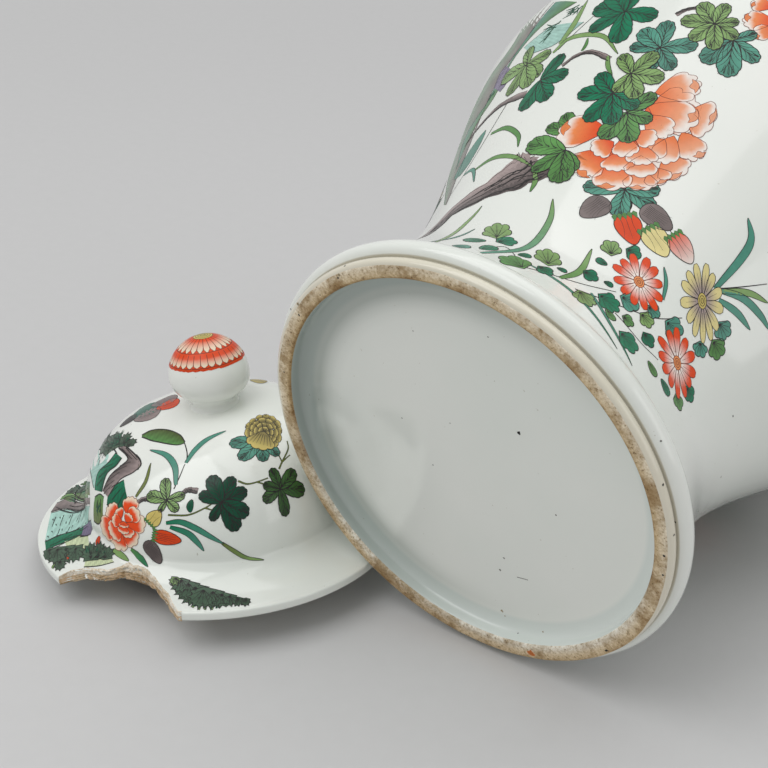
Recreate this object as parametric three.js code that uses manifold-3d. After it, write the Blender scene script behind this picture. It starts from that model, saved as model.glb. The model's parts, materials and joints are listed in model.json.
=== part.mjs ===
// Lidded baluster jar of thick glazed porcelain, lying on its side, with its chipped cover taken off beside it.
// Lengths are millimetres and angles are degrees. +Z is up, +Y is the way the jar's mouth points.
import * as THREE from 'three';
import { mergeVertices } from 'three/addons/utils/BufferGeometryUtils.js';
import Module from 'manifold-3d';

// How finely round shapes are cut
const bodySides = 48;
const knobSides = 32;
const curveSteps = 8;
const wallSteps = 6;
const roundSteps = 2;
const knobSteps = 9;

// A joint of slip between two sections that were thrown apart
const jointGap = 0.3;

// The foot ring's outline, as widths and rises from the inner edge of its flat face
const footInnerRadius = 110.5;
const footFaceInset = 2;
const footFaceWidth = 8.5;
const footFaceRound = 1.5;
const footGrooveStep = 1.6;
const footBeadStep = 4.4;
const footChamferRise = 3.6;
const footGrooveRise = 2;
const footBeadRise = 2;
const footBeadThickness = 4.8;
const footRootRise = 7.6;

// The jar's outline above the foot, each rise counted from the one before
const waistRadius = 106;
const waistRise = 55;
const bellyRadius = 169.5;
const bellyRise = 195;
const neckBaseRadius = 83;
const shoulderRise = 90;
const neckWaistRadius = 81.5;
const neckRimRadius = 83;
const neckBoreRadius = 74;
const neckRise = 52;
const jarWall = 8;
const rimRound = 1.6;

// The sunk base inside the foot ring
const baseDepth = 10;
const baseCoveRadius = 98;
const baseCoveRise = 2.5;
const baseSeatWidth = 2.5;

// How far each stretch of the outline keeps its direction, as shares of that stretch
const footSweepShare = 0.4;
const waistSweepShare = 0.31;
const bellySweepShare = 0.205;
const shoulderSweepShare = 0.55;
const shoulderReachShare = 0.4;
const shoulderDropShare = 0.05;

// The cover, with heights above the top of its rim
const flangeWidth = 29.7;
const rimThickness = 5.5;
const rimEdgeRound = 1.6;
const undersideFlat = 9;
const seatWidth = 14.5;
const seatHeight = 0;
const seatGrooveDepth = 1;
const domeRadius = 79.3;
const domeFootHeight = 14;
const domeTopRadius = 14;
const domeTopHeight = 73.5;
const domeWall = 7;
const tongueOuterRadius = 71.5;
const tongueWall = 6;
const tongueDepth = 11.3;
const domeRiseShare = 0.6;
const domeReachShare = 0.58;
const domeDropShare = 0.025;

// The flange's top, from the rim to the foot of the dome, as shares of that width and that rise
const flangeTopShares = [
  [0.13, 0.05],
  [0.4, 0.17],
  [0.67, 0.37],
  [0.88, 0.66],
];

// The knob on its short stem
const stemFootRadius = 15.8;
const stemWaistRadius = 13.6;
const stemHeight = 2.6;
const knobRadius = 23.8;
const knobCentreRise = 21;

// The bite broken out of the flange: azimuth and reach towards the dome, rim first
const biteStartAngle = -104.1;
const biteSweepAngle = 46.5;
const biteOverrun = 12;
const biteDepthShare = 0.926;
const biteShares = [
  [0, -0.1],
  [0.015, 0.3],
  [0.1, 0.56],
  [0.27, 0.72],
  [0.4, 0.96],
  [0.52, 1],
  [0.6, 0.98],
  [0.73, 0.82],
  [0.86, 0.51],
  [0.94, 0.17],
  [1, -0.1],
];

// How the two lie
const coverSetOff = 72.9;
const coverAlong = 10.7;
const coverLeanAngle = 4.8;
const coverLeanAzimuth = 143;
const tiltSteps = 40;
const tiltLimitAngle = 45;

// The finishes
const glaze = { color: 0xdfe3e0, roughness: 0.12, metalness: 0 };
const biscuit = { color: 0xb09a80, roughness: 0.85, metalness: 0 };
const ironRed = { color: 0xdfd0c8, roughness: 0.15, metalness: 0 };

// Places along the jar that follow from these
const footFaceRadius = footInnerRadius + footFaceWidth;
const footGrooveRadius = footFaceRadius + footGrooveStep;
const footBeadRadius = footGrooveRadius + footBeadStep;
const footGrooveHeight = footChamferRise + footGrooveRise;
const footBeadLowHeight = footGrooveHeight + footBeadRise;
const footBeadHighHeight = footBeadLowHeight + footBeadThickness;
const footHeight = footBeadHighHeight + footRootRise;
const waistHeight = footHeight + waistRise;
const bellyHeight = waistHeight + bellyRise;
const neckBaseHeight = bellyHeight + shoulderRise;
const jarHeight = neckBaseHeight + neckRise;

// Places on the cover that follow, and how far aside it lies
const rimRadius = domeRadius + flangeWidth;
const seatOuterRadius = tongueOuterRadius + seatWidth;
const knobCentreHeight = domeTopHeight + knobCentreRise;
const biteDepth = flangeWidth * biteDepthShare;
const coverAside = rimRadius + coverSetOff;

const degree = Math.PI / 180;
const wasm = await Module();
wasm.setup();

// A point of an outline: a radius and a height
const at = (radius, height) => new THREE.Vector2(radius, height);

// Points along a smooth stretch between two outline points
function sweep(start, startPull, endPull, end, steps) {
  return new THREE.CubicBezierCurve(start, startPull, endPull, end).getPoints(steps);
}

// An outline moved inwards by a wall, at right angles to itself
function inset(outline, wall) {
  return outline.map((point, index) => {
    const before = outline[Math.max(index - 1, 0)];
    const after = outline[Math.min(index + 1, outline.length - 1)];
    const along = after.clone().sub(before).normalize();
    return at(point.x - along.y * wall, point.y + along.x * wall);
  });
}

// Which way round a closed outline runs
function runsForward(outline) {
  const turned = outline.map((point, index) => point.cross(outline[(index + 1) % outline.length]));
  return turned.reduce((sum, value) => sum + value, 0) > 0;
}

// A closed solid turned about the Z axis, with the middle of a flat facing each row axis
function turn(outline, sides) {
  const forward = runsForward(outline) ? outline : [...outline].reverse();
  const onAxis = forward.filter((point) => point.x === 0).length;
  const start = onAxis ? forward.findIndex((point, index) => {
    return point.x === 0 && forward[(index + 1) % forward.length].x > 0;
  }) : 0;
  const ordered = [...forward.slice(start), ...forward.slice(0, start)];
  const profile = onAxis ? ordered : [...ordered, ordered[0].clone()];
  const geometry = new THREE.LatheGeometry(profile, sides, Math.PI / sides, Math.PI * 2);
  geometry.rotateX(Math.PI / 2);
  return clean(geometry);
}

// Only positions, with shared corners merged and flat triangles dropped
function clean(geometry) {
  geometry.deleteAttribute('normal');
  geometry.deleteAttribute('uv');
  const merged = mergeVertices(geometry, 1e-4);
  const corners = merged.index.array;
  const kept = [];
  for (let i = 0; i < corners.length; i += 3) {
    const [a, b, c] = corners.slice(i, i + 3);
    if (a !== b && b !== c && c !== a) {
      kept.push(a, b, c);
    }
  }
  merged.setIndex(kept);
  merged.computeVertexNormals();
  return merged;
}

function toSolid(geometry) {
  const vertProperties = new Float32Array(geometry.attributes.position.array);
  const triVerts = new Uint32Array(geometry.index.array);
  return new wasm.Manifold(new wasm.Mesh({ numProp: 3, vertProperties, triVerts }));
}

function fromSolid(solid) {
  const mesh = solid.getMesh();
  const geometry = new THREE.BufferGeometry();
  geometry.setAttribute('position', new THREE.BufferAttribute(mesh.vertProperties, 3));
  geometry.setIndex(new THREE.BufferAttribute(mesh.triVerts, 1));
  geometry.computeVertexNormals();
  return geometry;
}

// A quarter-round edge between two outline points that meet at a square corner
function roundEdge(from, corner, to) {
  return new THREE.QuadraticBezierCurve(from, corner, to).getPoints(roundSteps);
}

// The outside of the foot, from its flat face up to the body
function footOutline() {
  const middleHeight = (footBeadLowHeight + footBeadHighHeight) / 2;
  return [
    ...roundEdge(
      at(footFaceRadius - footFaceRound, 0),
      at(footFaceRadius + footFaceRound, 0),
      at(footGrooveRadius, footChamferRise),
    ),
    at(footGrooveRadius - footFaceRound, footGrooveHeight),
    at((footGrooveRadius + footBeadRadius) / 2, footBeadLowHeight - footFaceRound / 2),
    at(footBeadRadius, footBeadLowHeight + footFaceRound / 2),
    at(footBeadRadius + footFaceRound / 4, middleHeight),
    at(footBeadRadius, footBeadHighHeight - footFaceRound / 2),
    at(footFaceRadius + footFaceRound, footHeight - footFaceRound),
    at(footFaceRadius, footHeight),
  ];
}

// The outside from the foot to the waist and up to the belly
function lowerOutline() {
  const rise = waistHeight - footHeight;
  const swell = bellyHeight - waistHeight;
  const narrowing = footFaceRadius - waistRadius;
  const foot = sweep(
    at(footFaceRadius, footHeight + jointGap),
    at(footFaceRadius - narrowing * (1 - footSweepShare), footHeight + rise * footSweepShare),
    at(waistRadius, waistHeight - rise * footSweepShare),
    at(waistRadius, waistHeight),
    wallSteps,
  );
  const belly = sweep(
    at(waistRadius, waistHeight),
    at(waistRadius, waistHeight + swell * waistSweepShare),
    at(bellyRadius, bellyHeight - swell * bellySweepShare),
    at(bellyRadius, bellyHeight),
    curveSteps,
  );
  return [...foot, ...belly.slice(1)];
}

// The outside from the belly over the shoulder to the neck
function shoulderOutline() {
  const rise = neckBaseHeight - bellyHeight;
  const reach = bellyRadius - neckBaseRadius;
  return sweep(
    at(bellyRadius, bellyHeight + jointGap),
    at(bellyRadius, bellyHeight + rise * shoulderSweepShare),
    at(neckBaseRadius + reach * shoulderReachShare, neckBaseHeight - rise * shoulderDropShare),
    at(neckBaseRadius, neckBaseHeight),
    curveSteps,
  );
}

function footRing() {
  const seatRadius = footInnerRadius + baseSeatWidth;
  return turn([
    ...footOutline(),
    at(seatRadius, footHeight),
    at(seatRadius, baseDepth),
    at(footInnerRadius, baseDepth),
    at(footInnerRadius, footFaceInset),
    at(footInnerRadius + footFaceInset, 0),
  ], bodySides);
}

function baseDisc() {
  const edge = footInnerRadius + baseSeatWidth - jointGap;
  const underEdge = footInnerRadius - jointGap;
  const underHeight = baseDepth + jointGap;
  return turn([
    at(0, underHeight),
    at(baseCoveRadius, underHeight),
    at((baseCoveRadius + underEdge * 2) / 3, underHeight - baseCoveRise / 3),
    at(underEdge, underHeight - baseCoveRise),
    at(underEdge, underHeight),
    at(edge, underHeight),
    at(edge, footHeight - jointGap),
    at(0, footHeight - jointGap),
  ], bodySides);
}

function lowerBody() {
  const outside = lowerOutline();
  const floorHeight = footHeight + jointGap;
  const inside = inset(outside, jarWall).filter((point) => point.y > floorHeight + jarWall / 2);
  inside.at(-1).y = bellyHeight;
  const corner = at(footFaceRadius - jarWall, floorHeight);
  return turn([...outside, ...inside.reverse(), corner], bodySides);
}

function upperBody() {
  const outside = shoulderOutline();
  const inside = inset(outside, jarWall).filter((point) => point.x > neckBoreRadius + jarWall / 2);
  inside[0].y = outside[0].y;
  const bore = [at(neckBoreRadius, neckBaseHeight), at(neckBoreRadius, neckBaseHeight - jarWall)];
  return turn([...outside, ...bore, ...inside.reverse()], bodySides);
}

function neck() {
  const low = neckBaseHeight + jointGap;
  const wall = neckRimRadius - neckBoreRadius;
  const middle = (low + jarHeight) / 2;
  return turn([
    at(neckBaseRadius, low),
    at(neckWaistRadius, middle - wall),
    at(neckWaistRadius, middle),
    ...roundEdge(
      at(neckRimRadius, jarHeight - rimRound),
      at(neckRimRadius, jarHeight),
      at(neckRimRadius - rimRound, jarHeight),
    ),
    ...roundEdge(
      at(neckBoreRadius + rimRound, jarHeight),
      at(neckBoreRadius, jarHeight),
      at(neckBoreRadius, jarHeight - rimRound),
    ),
    at(neckBoreRadius, low),
  ], bodySides);
}

// The broken-out bite, as a block that is taken from the flange
function biteBlock() {
  const points = biteShares.map(([turnShare, depthShare]) => {
    const angle = (biteStartAngle + biteSweepAngle * turnShare) * degree;
    const radius = rimRadius - biteDepth * depthShare;
    return at(radius * Math.cos(angle), radius * Math.sin(angle));
  });
  const far = [biteStartAngle + biteSweepAngle, biteStartAngle].map((azimuth) => {
    const radius = rimRadius + biteOverrun * 2;
    return at(radius * Math.cos(azimuth * degree), radius * Math.sin(azimuth * degree));
  });
  const shape = new THREE.Shape([...points, ...far]);
  const depth = domeFootHeight + rimThickness + biteOverrun * 2;
  const block = new THREE.ExtrudeGeometry(shape, { depth, bevelEnabled: false });
  block.translate(0, 0, -rimThickness - biteOverrun);
  return toSolid(clean(block));
}

// The flange, with a shallow groove that the tongue is luted into
function coverFlange() {
  const width = rimRadius - domeRadius;
  const innerRadius = tongueOuterRadius - tongueWall;
  const grooveRadius = tongueOuterRadius + jointGap;
  const grooveHeight = seatHeight + seatGrooveDepth;
  const top = flangeTopShares.map(([inwards, up]) => {
    return at(rimRadius - width * inwards, domeFootHeight * up);
  });
  const body = turn([
    ...roundEdge(
      at(rimRadius - rimEdgeRound, -rimThickness),
      at(rimRadius, -rimThickness),
      at(rimRadius, -rimThickness + rimEdgeRound),
    ),
    ...roundEdge(
      at(rimRadius, -rimEdgeRound),
      at(rimRadius, 0),
      at(rimRadius - rimEdgeRound, 0),
    ),
    ...top,
    at(domeRadius, domeFootHeight),
    at(domeRadius - domeWall, domeFootHeight),
    at(innerRadius, grooveHeight),
    at(grooveRadius, grooveHeight),
    at(grooveRadius, seatHeight),
    at(seatOuterRadius, seatHeight),
    at(rimRadius - undersideFlat, -rimThickness),
  ], bodySides);
  return fromSolid(toSolid(body).subtract(biteBlock()));
}

function coverTongue() {
  const inner = tongueOuterRadius - tongueWall;
  const high = seatHeight + seatGrooveDepth - jointGap;
  return turn([
    at(inner, high),
    at(inner, -tongueDepth + rimEdgeRound),
    at(inner + rimEdgeRound, -tongueDepth),
    at(tongueOuterRadius - rimEdgeRound, -tongueDepth),
    at(tongueOuterRadius, -tongueDepth + rimEdgeRound),
    at(tongueOuterRadius, high),
  ], bodySides);
}

function coverDome() {
  const rise = domeTopHeight - domeFootHeight;
  const reach = domeRadius - domeTopRadius;
  const outside = sweep(
    at(domeRadius, domeFootHeight + jointGap),
    at(domeRadius, domeFootHeight + rise * domeRiseShare),
    at(domeTopRadius + reach * domeReachShare, domeTopHeight - rise * domeDropShare),
    at(domeTopRadius, domeTopHeight),
    curveSteps,
  );
  const inside = inset(outside, domeWall);
  inside[0].y = outside[0].y;
  return turn([
    ...outside,
    at(0, domeTopHeight),
    at(0, domeTopHeight - domeWall),
    ...inside.reverse(),
  ], bodySides);
}

function knobStem() {
  const low = domeTopHeight + jointGap;
  return turn([
    at(0, low),
    at(domeTopRadius - jointGap, low),
    at(stemWaistRadius, low + stemHeight / 2),
    at((stemFootRadius + stemWaistRadius) / 2, low + stemHeight),
    at(0, low + stemHeight),
  ], knobSides);
}

function knob() {
  const low = domeTopHeight + stemHeight + jointGap * 2;
  const lowest = -Math.asin((knobCentreHeight - low) / knobRadius);
  const round = [];
  for (let step = 0; step <= knobSteps; step += 1) {
    const angle = lowest + (Math.PI / 2 - lowest) * (step / knobSteps);
    const radius = step === knobSteps ? 0 : knobRadius * Math.cos(angle);
    round.push(at(radius, knobCentreHeight + knobRadius * Math.sin(angle)));
  }
  return turn([at(0, low), ...round], knobSides);
}

function piece(name, geometry, finish) {
  const mesh = new THREE.Mesh(geometry, new THREE.MeshStandardMaterial(finish));
  mesh.name = name;
  return mesh;
}

// How far an outline reaches below its axis point when it is tilted, measured to the middle of its flats
function reachBelow(outline, tilt) {
  const flat = Math.cos(Math.PI / bodySides);
  return Math.max(...outline.map((point) => {
    return point.x * flat * Math.cos(tilt) - point.y * Math.sin(tilt);
  }));
}

// The tilt at which the foot and the belly both touch the ground
function restTilt(foot, belly) {
  let low = 0;
  let high = tiltLimitAngle * degree;
  for (let step = 0; step < tiltSteps; step += 1) {
    const middle = (low + high) / 2;
    if (reachBelow(belly, middle) > reachBelow(foot, middle)) {
      low = middle;
    } else {
      high = middle;
    }
  }
  return (low + high) / 2;
}

// The jar, lying on its foot and its belly with the mouth end a little higher
function layJar() {
  const jar = new THREE.Group();
  jar.add(
    piece('jar_foot_ring', footRing(), glaze),
    piece('jar_base', baseDisc(), glaze),
    piece('jar_lower_body', lowerBody(), glaze),
    piece('jar_upper_body', upperBody(), glaze),
    piece('jar_neck', neck(), glaze),
  );
  const tilt = restTilt(footOutline(), [...lowerOutline(), ...shoulderOutline()]);
  jar.rotation.x = tilt - Math.PI / 2;
  jar.position.z = reachBelow(footOutline(), tilt);
  return jar;
}

// The cover, leaning a little, with the low side of its tongue on the ground
function layCover() {
  const cover = new THREE.Group();
  cover.add(
    piece('cover_flange', coverFlange(), glaze),
    piece('cover_tongue', coverTongue(), biscuit),
    piece('cover_dome', coverDome(), glaze),
    piece('cover_knob_stem', knobStem(), glaze),
    piece('cover_knob', knob(), ironRed),
  );
  const lean = coverLeanAngle * degree;
  const towards = coverLeanAzimuth * degree;
  const hinge = new THREE.Vector3(-Math.sin(towards), Math.cos(towards), 0);
  cover.quaternion.setFromAxisAngle(hinge, lean);
  const tongueFoot = tongueOuterRadius - rimEdgeRound;
  const belowTongue = tongueFoot * Math.sin(lean) + tongueDepth * Math.cos(lean);
  const belowRim = rimRadius * Math.sin(lean) + rimThickness * Math.cos(lean);
  cover.position.set(-coverAside, coverAlong, Math.max(belowTongue, belowRim));
  return cover;
}

// The pair, with the origin on the ground at the middle of the space that they take up
const group = new THREE.Group();
group.add(layJar(), layCover());
group.updateMatrixWorld(true);
const space = new THREE.Box3().setFromObject(group, true);
const middle = space.getCenter(new THREE.Vector3());
group.position.set(-middle.x, -middle.y, -space.min.z);

export default group;
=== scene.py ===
# A porcelain baluster jar that lies on its side with its cover beside it, painted with flowers in enamels.
# Sizes are millimetres unless a name says otherwise. The finished meshes are in metres.
import json
import math

import bpy
import numpy as np
from mathutils import Matrix, Vector
from mathutils.bvhtree import BVHTree


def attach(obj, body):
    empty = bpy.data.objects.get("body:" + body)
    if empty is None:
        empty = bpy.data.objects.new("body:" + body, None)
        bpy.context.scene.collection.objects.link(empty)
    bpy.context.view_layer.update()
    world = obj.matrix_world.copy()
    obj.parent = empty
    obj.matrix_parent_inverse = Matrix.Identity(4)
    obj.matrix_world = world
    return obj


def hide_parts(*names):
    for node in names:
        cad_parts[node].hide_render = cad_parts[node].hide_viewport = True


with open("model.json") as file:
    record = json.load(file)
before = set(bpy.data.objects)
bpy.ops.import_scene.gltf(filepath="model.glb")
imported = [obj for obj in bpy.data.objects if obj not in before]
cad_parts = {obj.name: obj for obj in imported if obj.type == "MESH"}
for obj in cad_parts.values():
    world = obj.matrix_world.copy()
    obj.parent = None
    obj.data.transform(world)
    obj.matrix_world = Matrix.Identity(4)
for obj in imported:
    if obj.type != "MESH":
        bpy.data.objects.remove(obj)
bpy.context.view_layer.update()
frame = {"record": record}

MM = 0.001
SEED = 7

# The jar's outline
FOOT_INNER, FOOT_FACE, FOOT_GROOVE, FOOT_BEAD = 110.5, 119, 120.6, 125.4
FOOT_HEIGHT, BASE_DEPTH, BASE_COVE, FACE_HEIGHT = 20, 10, 98, -0.15
COVE_ROUND, FACE_ROUND, EDGE_ROUND = 3.6, 2.2, 1.6
GROOVE_START, GROOVE_FLOOR, BEAD_START = 3.4, 5, 5.7
BEAD_LOW_PULL, BEAD_HIGH_PULL = (2.2, 5.2), (1.9, 15.4)
WAIST_RADIUS, WAIST_HEIGHT = 106, 75
BELLY_RADIUS, BELLY_HEIGHT = 169.5, 270
NECK_RADIUS, NECK_BASE, NECK_WAIST, BORE_RADIUS = 83, 360, 81.5, 74
JAR_HEIGHT, JAR_WALL, LIP_ROUND = 412, 8, 1.6
FOOT_SWEEP, WAIST_SWEEP, BELLY_SWEEP = 0.4, 0.31, 0.205
SHOULDER_SWEEP, SHOULDER_REACH, SHOULDER_DROP = 0.55, 0.4, 0.05

# The cover's outline, with heights above the top of its rim
RIM_RADIUS, RIM_THICKNESS, RIM_ROUND = 109, 5.5, 1.6
UNDERSIDE_FLAT, SEAT_OUTER = 9, 86
DOME_RADIUS, DOME_FOOT, DOME_TOP_RADIUS, DOME_TOP, DOME_WALL = 79.3, 14, 14, 73.5, 7
DOME_RISE, DOME_REACH, DOME_DROP = 0.6, 0.58, 0.025
TONGUE_OUTER, TONGUE_WALL, TONGUE_DEPTH, TONGUE_ROUND = 71.5, 6, 11.3, 1.6
STEM_FOOT, STEM_WAIST, KNOB_RADIUS, KNOB_CENTRE = 15.8, 13.6, 23.8, 94.5

# Where the foot's glaze is tinted: how far inside its face this starts, the height of the cream chamfer, the
# heights of the groove and how far inside the bead it lies. In the corner round the base, how far from its
# start and past its end, and how high
TINT_INSET, CHAMFER_HEIGHT, GROOVE_HEIGHTS, GROOVE_INSET = 3, 5, (4.6, 6.1), 4
CORNER_START, CORNER_END, CORNER_HEIGHT = 3, 2, 1

# The outline of the unglazed ring: steps from the foot's inner edge and from its outer one, with heights
RING_INSIDE = [(0.6, 3), (0.1, 1.8), (0.2, FACE_HEIGHT), (2, FACE_HEIGHT)]
RING_OUTSIDE = [(-1.8, FACE_HEIGHT), (-0.4, -0.1), (0.1, 0.9), (-1, 3)]

# How flat the underside of the knob's ball is, and the share of its radius at which it meets the stem
KNOB_SQUASH, KNOB_JOIN = 0.68, 0.8

# The stem's curve: steps from its foot at the dome's top, from its waist there and from its end at the ball
STEM_SUNK, STEM_LOW_PULL, STEM_HIGH_PULL = (-0.2, -1), (-1.6, 2), (-5.6, -4.6)

# The flange's top: shares of its width inwards and of its rise
FLANGE_TOP_SHARES = [(0.13, 0.05), (0.4, 0.17), (0.67, 0.37), (0.88, 0.66)]

# How the cover lies, in degrees, and how far from the axis its mount and the jar's are
COVER_LEAN, COVER_LEAN_AZIMUTH = 4.8, 143
SEAT_POINT_RADIUS, FOOT_POINT_RADIUS = 79, 115.5

# How far the dome is out of true: heights over which this grows and fades, and how far it lifts and leans
WARP_RISE, WARP_FADE, WARP_REACH = 38, 12, 35
WARP_LIFT, WARP_RIGHT, WARP_BACK, WARP_ASIDE = 2.6, 4, 2.4, 2.4

# The bite broken out of the cover's rim, shares of its sweep and of its depth, and how far in from the rim
# the flange's slope is looked up
BITE_START, BITE_SWEEP, BITE_DEPTH, BITE_REACH = -104.1, 46.5, 25.4, 40
BITE_SHARES = [
    (0, -0.1), (0.015, 0.3), (0.1, 0.56), (0.27, 0.72), (0.4, 0.96), (0.52, 1), (0.6, 0.98), (0.73, 0.82),
    (0.86, 0.51), (0.94, 0.17), (1, -0.1),
]

# The broken face: how much of it, from its top, is flaked glaze, how wide its flaked edge is and how much
# this wavers, how far its edges and its middle stand out, and its bumps by reach in columns and height
FLAKE_SHARE, LIP_WIDTH, LIP_WAVER = 0.36, 0.9, 0.5
EDGE_SWELL, MIDDLE_SWELL = 0.35, 0.5
BREAK_BUMPS = ((2, 0.4), (6, 0.5))

# The camera: where it stands in millimetres, how it looks down and round, and its focal length in pixels
CAMERA_AT = (425.35, -700.5, 518.93)
CAMERA_DOWN, CAMERA_ROUND = 28.11, 37.47
FOCAL_PX, PHOTO_PX, SENSOR = 1500, 768, 36

# How finely the turned shapes are cut, and how far apart the points of a skin's outline are
JAR_COLUMNS, COVER_COLUMNS, BITE_COLUMNS, KNOB_COLUMNS = 240, 200, 140, 96
BASE_STEPS, BREAK_ROWS = 20, 15
TREE_COLUMNS, TREE_STRIDE = 180, 4
OUTLINE_STEP = 0.5

# How many times each wave of an uneven edge goes round
WAVE_ORDERS = (3, 5, 9, 14, 23, 37, 61)


def srgb(red, green, blue):
    """A colour given as 0 to 255 screen values, as linear values."""
    def linear(value):
        share = value / 255
        return share / 12.92 if share <= 0.04045 else ((share + 0.055) / 1.055) ** 2.4
    return np.array([linear(red), linear(green), linear(blue)])


WHITE = np.ones(3)
GLAZE = srgb(235, 237, 232)
CREAM = srgb(226, 219, 202)
GROOVE = srgb(198, 192, 176)
COVE_GLAZE = srgb(222, 228, 224)
BARE_TONGUE = srgb(224, 208, 182)
FLAKE, BREAK, STAIN = srgb(244, 241, 234), srgb(232, 212, 186), srgb(160, 144, 112)

# The bare ring's colours from its inner to its outer edge, where it faces up and where it faces the floor,
# and how much wider the bare clay is at the floor. The colours are partly the clay's own and partly painted
# light and shade: each edge is lighter where it faces up and darker where it faces down
RING_SHARES = (0, 0.2, 0.6, 1)
RING_HIGH = (srgb(190, 162, 116), srgb(222, 204, 170), srgb(236, 224, 200), srgb(248, 242, 228))
RING_LOW = (srgb(244, 244, 238), srgb(244, 240, 230), srgb(234, 220, 194), srgb(216, 194, 156))
RING_WIDER = 1.3

# Painted shade in the corner round the base, darkest on one side: over how much of its edge, how much
# darker, the angle in degrees at which it is lightest, and how much of each colour it takes away
COVE_SHADE_FADE, COVE_SHADE_DEPTH, COVE_SHADE_LIGHTEST = 16, 0.42, 20
COVE_SHADE = (1, 0.93, 0.96)

# The enamels
DEEP_GREEN = srgb(12, 120, 84)
TEAL = srgb(82, 150, 130)
MID_GREEN = srgb(92, 146, 78)
APPLE = srgb(134, 170, 102)
OLIVE = srgb(112, 124, 62)
IRON_RED = srgb(228, 72, 14)
PALE_RED = srgb(238, 150, 88)
PETAL_WHITE = srgb(243, 234, 226)
CREAM_PETAL = srgb(240, 222, 196)
YELLOW = srgb(216, 196, 112)
STRAW = srgb(240, 226, 158)
AUBERGINE = srgb(118, 106, 104)
VIOLET = srgb(128, 118, 148)
PALE_GREEN = srgb(206, 218, 176)
FOLIAGE = srgb(74, 98, 78)
MOSS = srgb(112, 142, 116)
RUST = srgb(208, 116, 52)
GREY = srgb(120, 120, 114)
TURQUOISE = srgb(172, 214, 202)
INK = srgb(34, 31, 30)
RED_INK = srgb(122, 52, 36)


# Numbers and grids

def eased(value):
    value = np.clip(value, 0, 1)
    return value * value * (3 - 2 * value)


def mixed(first, second, share):
    """The colour between two at a share, or a row of them for an array of shares."""
    share = np.clip(share, 0, 1)[..., None]
    return first * (1 - share) + second * share


def even_angles(count):
    return np.linspace(0, 2 * math.pi, count, endpoint=False)


def wave(angles, generator, size):
    """A smooth random wave round a circle."""
    total = np.zeros(len(angles))
    for order in WAVE_ORDERS:
        height = generator.normal()
        phase = generator.uniform(0, 2 * math.pi)
        total += height * np.sin(order * angles + phase) / math.sqrt(order)
    return total * size / 1.5


def smoothed_noise(generator, rows, columns, reach):
    """Random heights on a grid, smoothed over a reach of columns, about -1 to 1."""
    raw = generator.normal(size=(rows, columns + 2 * reach))
    kernel = np.hanning(2 * reach + 3)[1:-1]
    kernel /= np.sqrt((kernel ** 2).sum())
    rows_done = np.array([np.convolve(row, kernel, "valid") for row in raw])
    return np.clip(rows_done[:, :columns], -2, 2) / 2


def grid_faces(rows, columns, wrap_rows=False, wrap_columns=False, first=0):
    """Faces between the points of a grid, counted row by row. A grid that wraps closes on itself."""
    faces = []
    for i in range(rows if wrap_rows else rows - 1):
        near, far = first + i * columns, first + (i + 1) % rows * columns
        for j in range(columns if wrap_columns else columns - 1):
            k = (j + 1) % columns
            faces.append((near + j, far + j, far + k, near + k))
    return faces


def turned_over(faces):
    """The same faces, seen from behind, each with the same first point."""
    return [(face[0], *face[:0:-1]) for face in faces]


# Where the photograph's pixels look

def camera_axes():
    down, turn = math.radians(CAMERA_DOWN), math.radians(CAMERA_ROUND)
    forward = np.array([-math.sin(turn) * math.cos(down), math.cos(turn) * math.cos(down), -math.sin(down)])
    right = np.array([math.cos(turn), math.sin(turn), 0])
    return forward, right, np.cross(right, forward)


def pixel_direction(pixel):
    forward, right, up = camera_axes()
    centre = PHOTO_PX / 2
    return forward + (right * (pixel[0] - centre) - up * (pixel[1] - centre)) / FOCAL_PX


def pixel_of(point):
    """Where the photograph shows a point."""
    forward, right, up = camera_axes()
    offset = np.asarray(point, float) - CAMERA_AT
    centre = PHOTO_PX / 2
    scale = FOCAL_PX / np.dot(offset, forward)
    return np.array([centre + scale * np.dot(offset, right), centre - scale * np.dot(offset, up)])


# Outlines of radius and height, and other runs of points

def bezier(start, start_pull, end_pull, end, steps):
    t = np.linspace(0, 1, steps + 1)[:, None]
    points = [np.array(p, float) for p in (start, start_pull, end_pull, end)]
    weights = [(1 - t) ** 3, 3 * (1 - t) ** 2 * t, 3 * (1 - t) * t ** 2, t ** 3]
    return sum(w * p for w, p in zip(weights, points))


def rounded(start, corner, end, steps=6):
    t = np.linspace(0, 1, steps + 1)[:, None]
    points = [np.array(p, float) for p in (start, corner, end)]
    return (1 - t) ** 2 * points[0] + 2 * (1 - t) * t * points[1] + t ** 2 * points[2]


def straight(start, end, steps):
    return np.linspace(start, end, steps + 1)


def joined(*runs):
    """Outline stretches laid end to end, without the points that repeat."""
    points = np.vstack(runs)
    steps = np.linalg.norm(np.diff(points, axis=0), axis=1)
    return points[np.concatenate([[True], steps > 1e-4])]


def resampled(path, count):
    """As many points as asked for, evenly spaced along a path."""
    steps = np.linalg.norm(np.diff(path, axis=0), axis=1)
    run = np.concatenate([[0], np.cumsum(steps)])
    where = np.linspace(0, run[-1], count)
    return np.stack([np.interp(where, run, path[:, k]) for k in range(path.shape[1])], 1)


def smooth_through(knots, steps):
    """A smooth curve through points: Catmull-Rom, with the ends kept."""
    knots = np.asarray(knots, float)
    padded = np.vstack([2 * knots[:1] - knots[1:2], knots, 2 * knots[-1:] - knots[-2:-1]])
    t = np.linspace(0, 1, steps, endpoint=False)[:, None]
    runs = []
    for i in range(1, len(padded) - 2):
        a, b, c, d = padded[i - 1:i + 3]
        square, cube = 2 * a - 5 * b + 4 * c - d, 3 * b - a - 3 * c + d
        runs.append(0.5 * (2 * b + (c - a) * t + square * t ** 2 + cube * t ** 3))
    return np.vstack(runs + [padded[-2:-1]])


def slope_height(outline, radius):
    order = np.argsort(outline[:, 0])
    return np.interp(radius, outline[order, 0], outline[order, 1])


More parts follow.
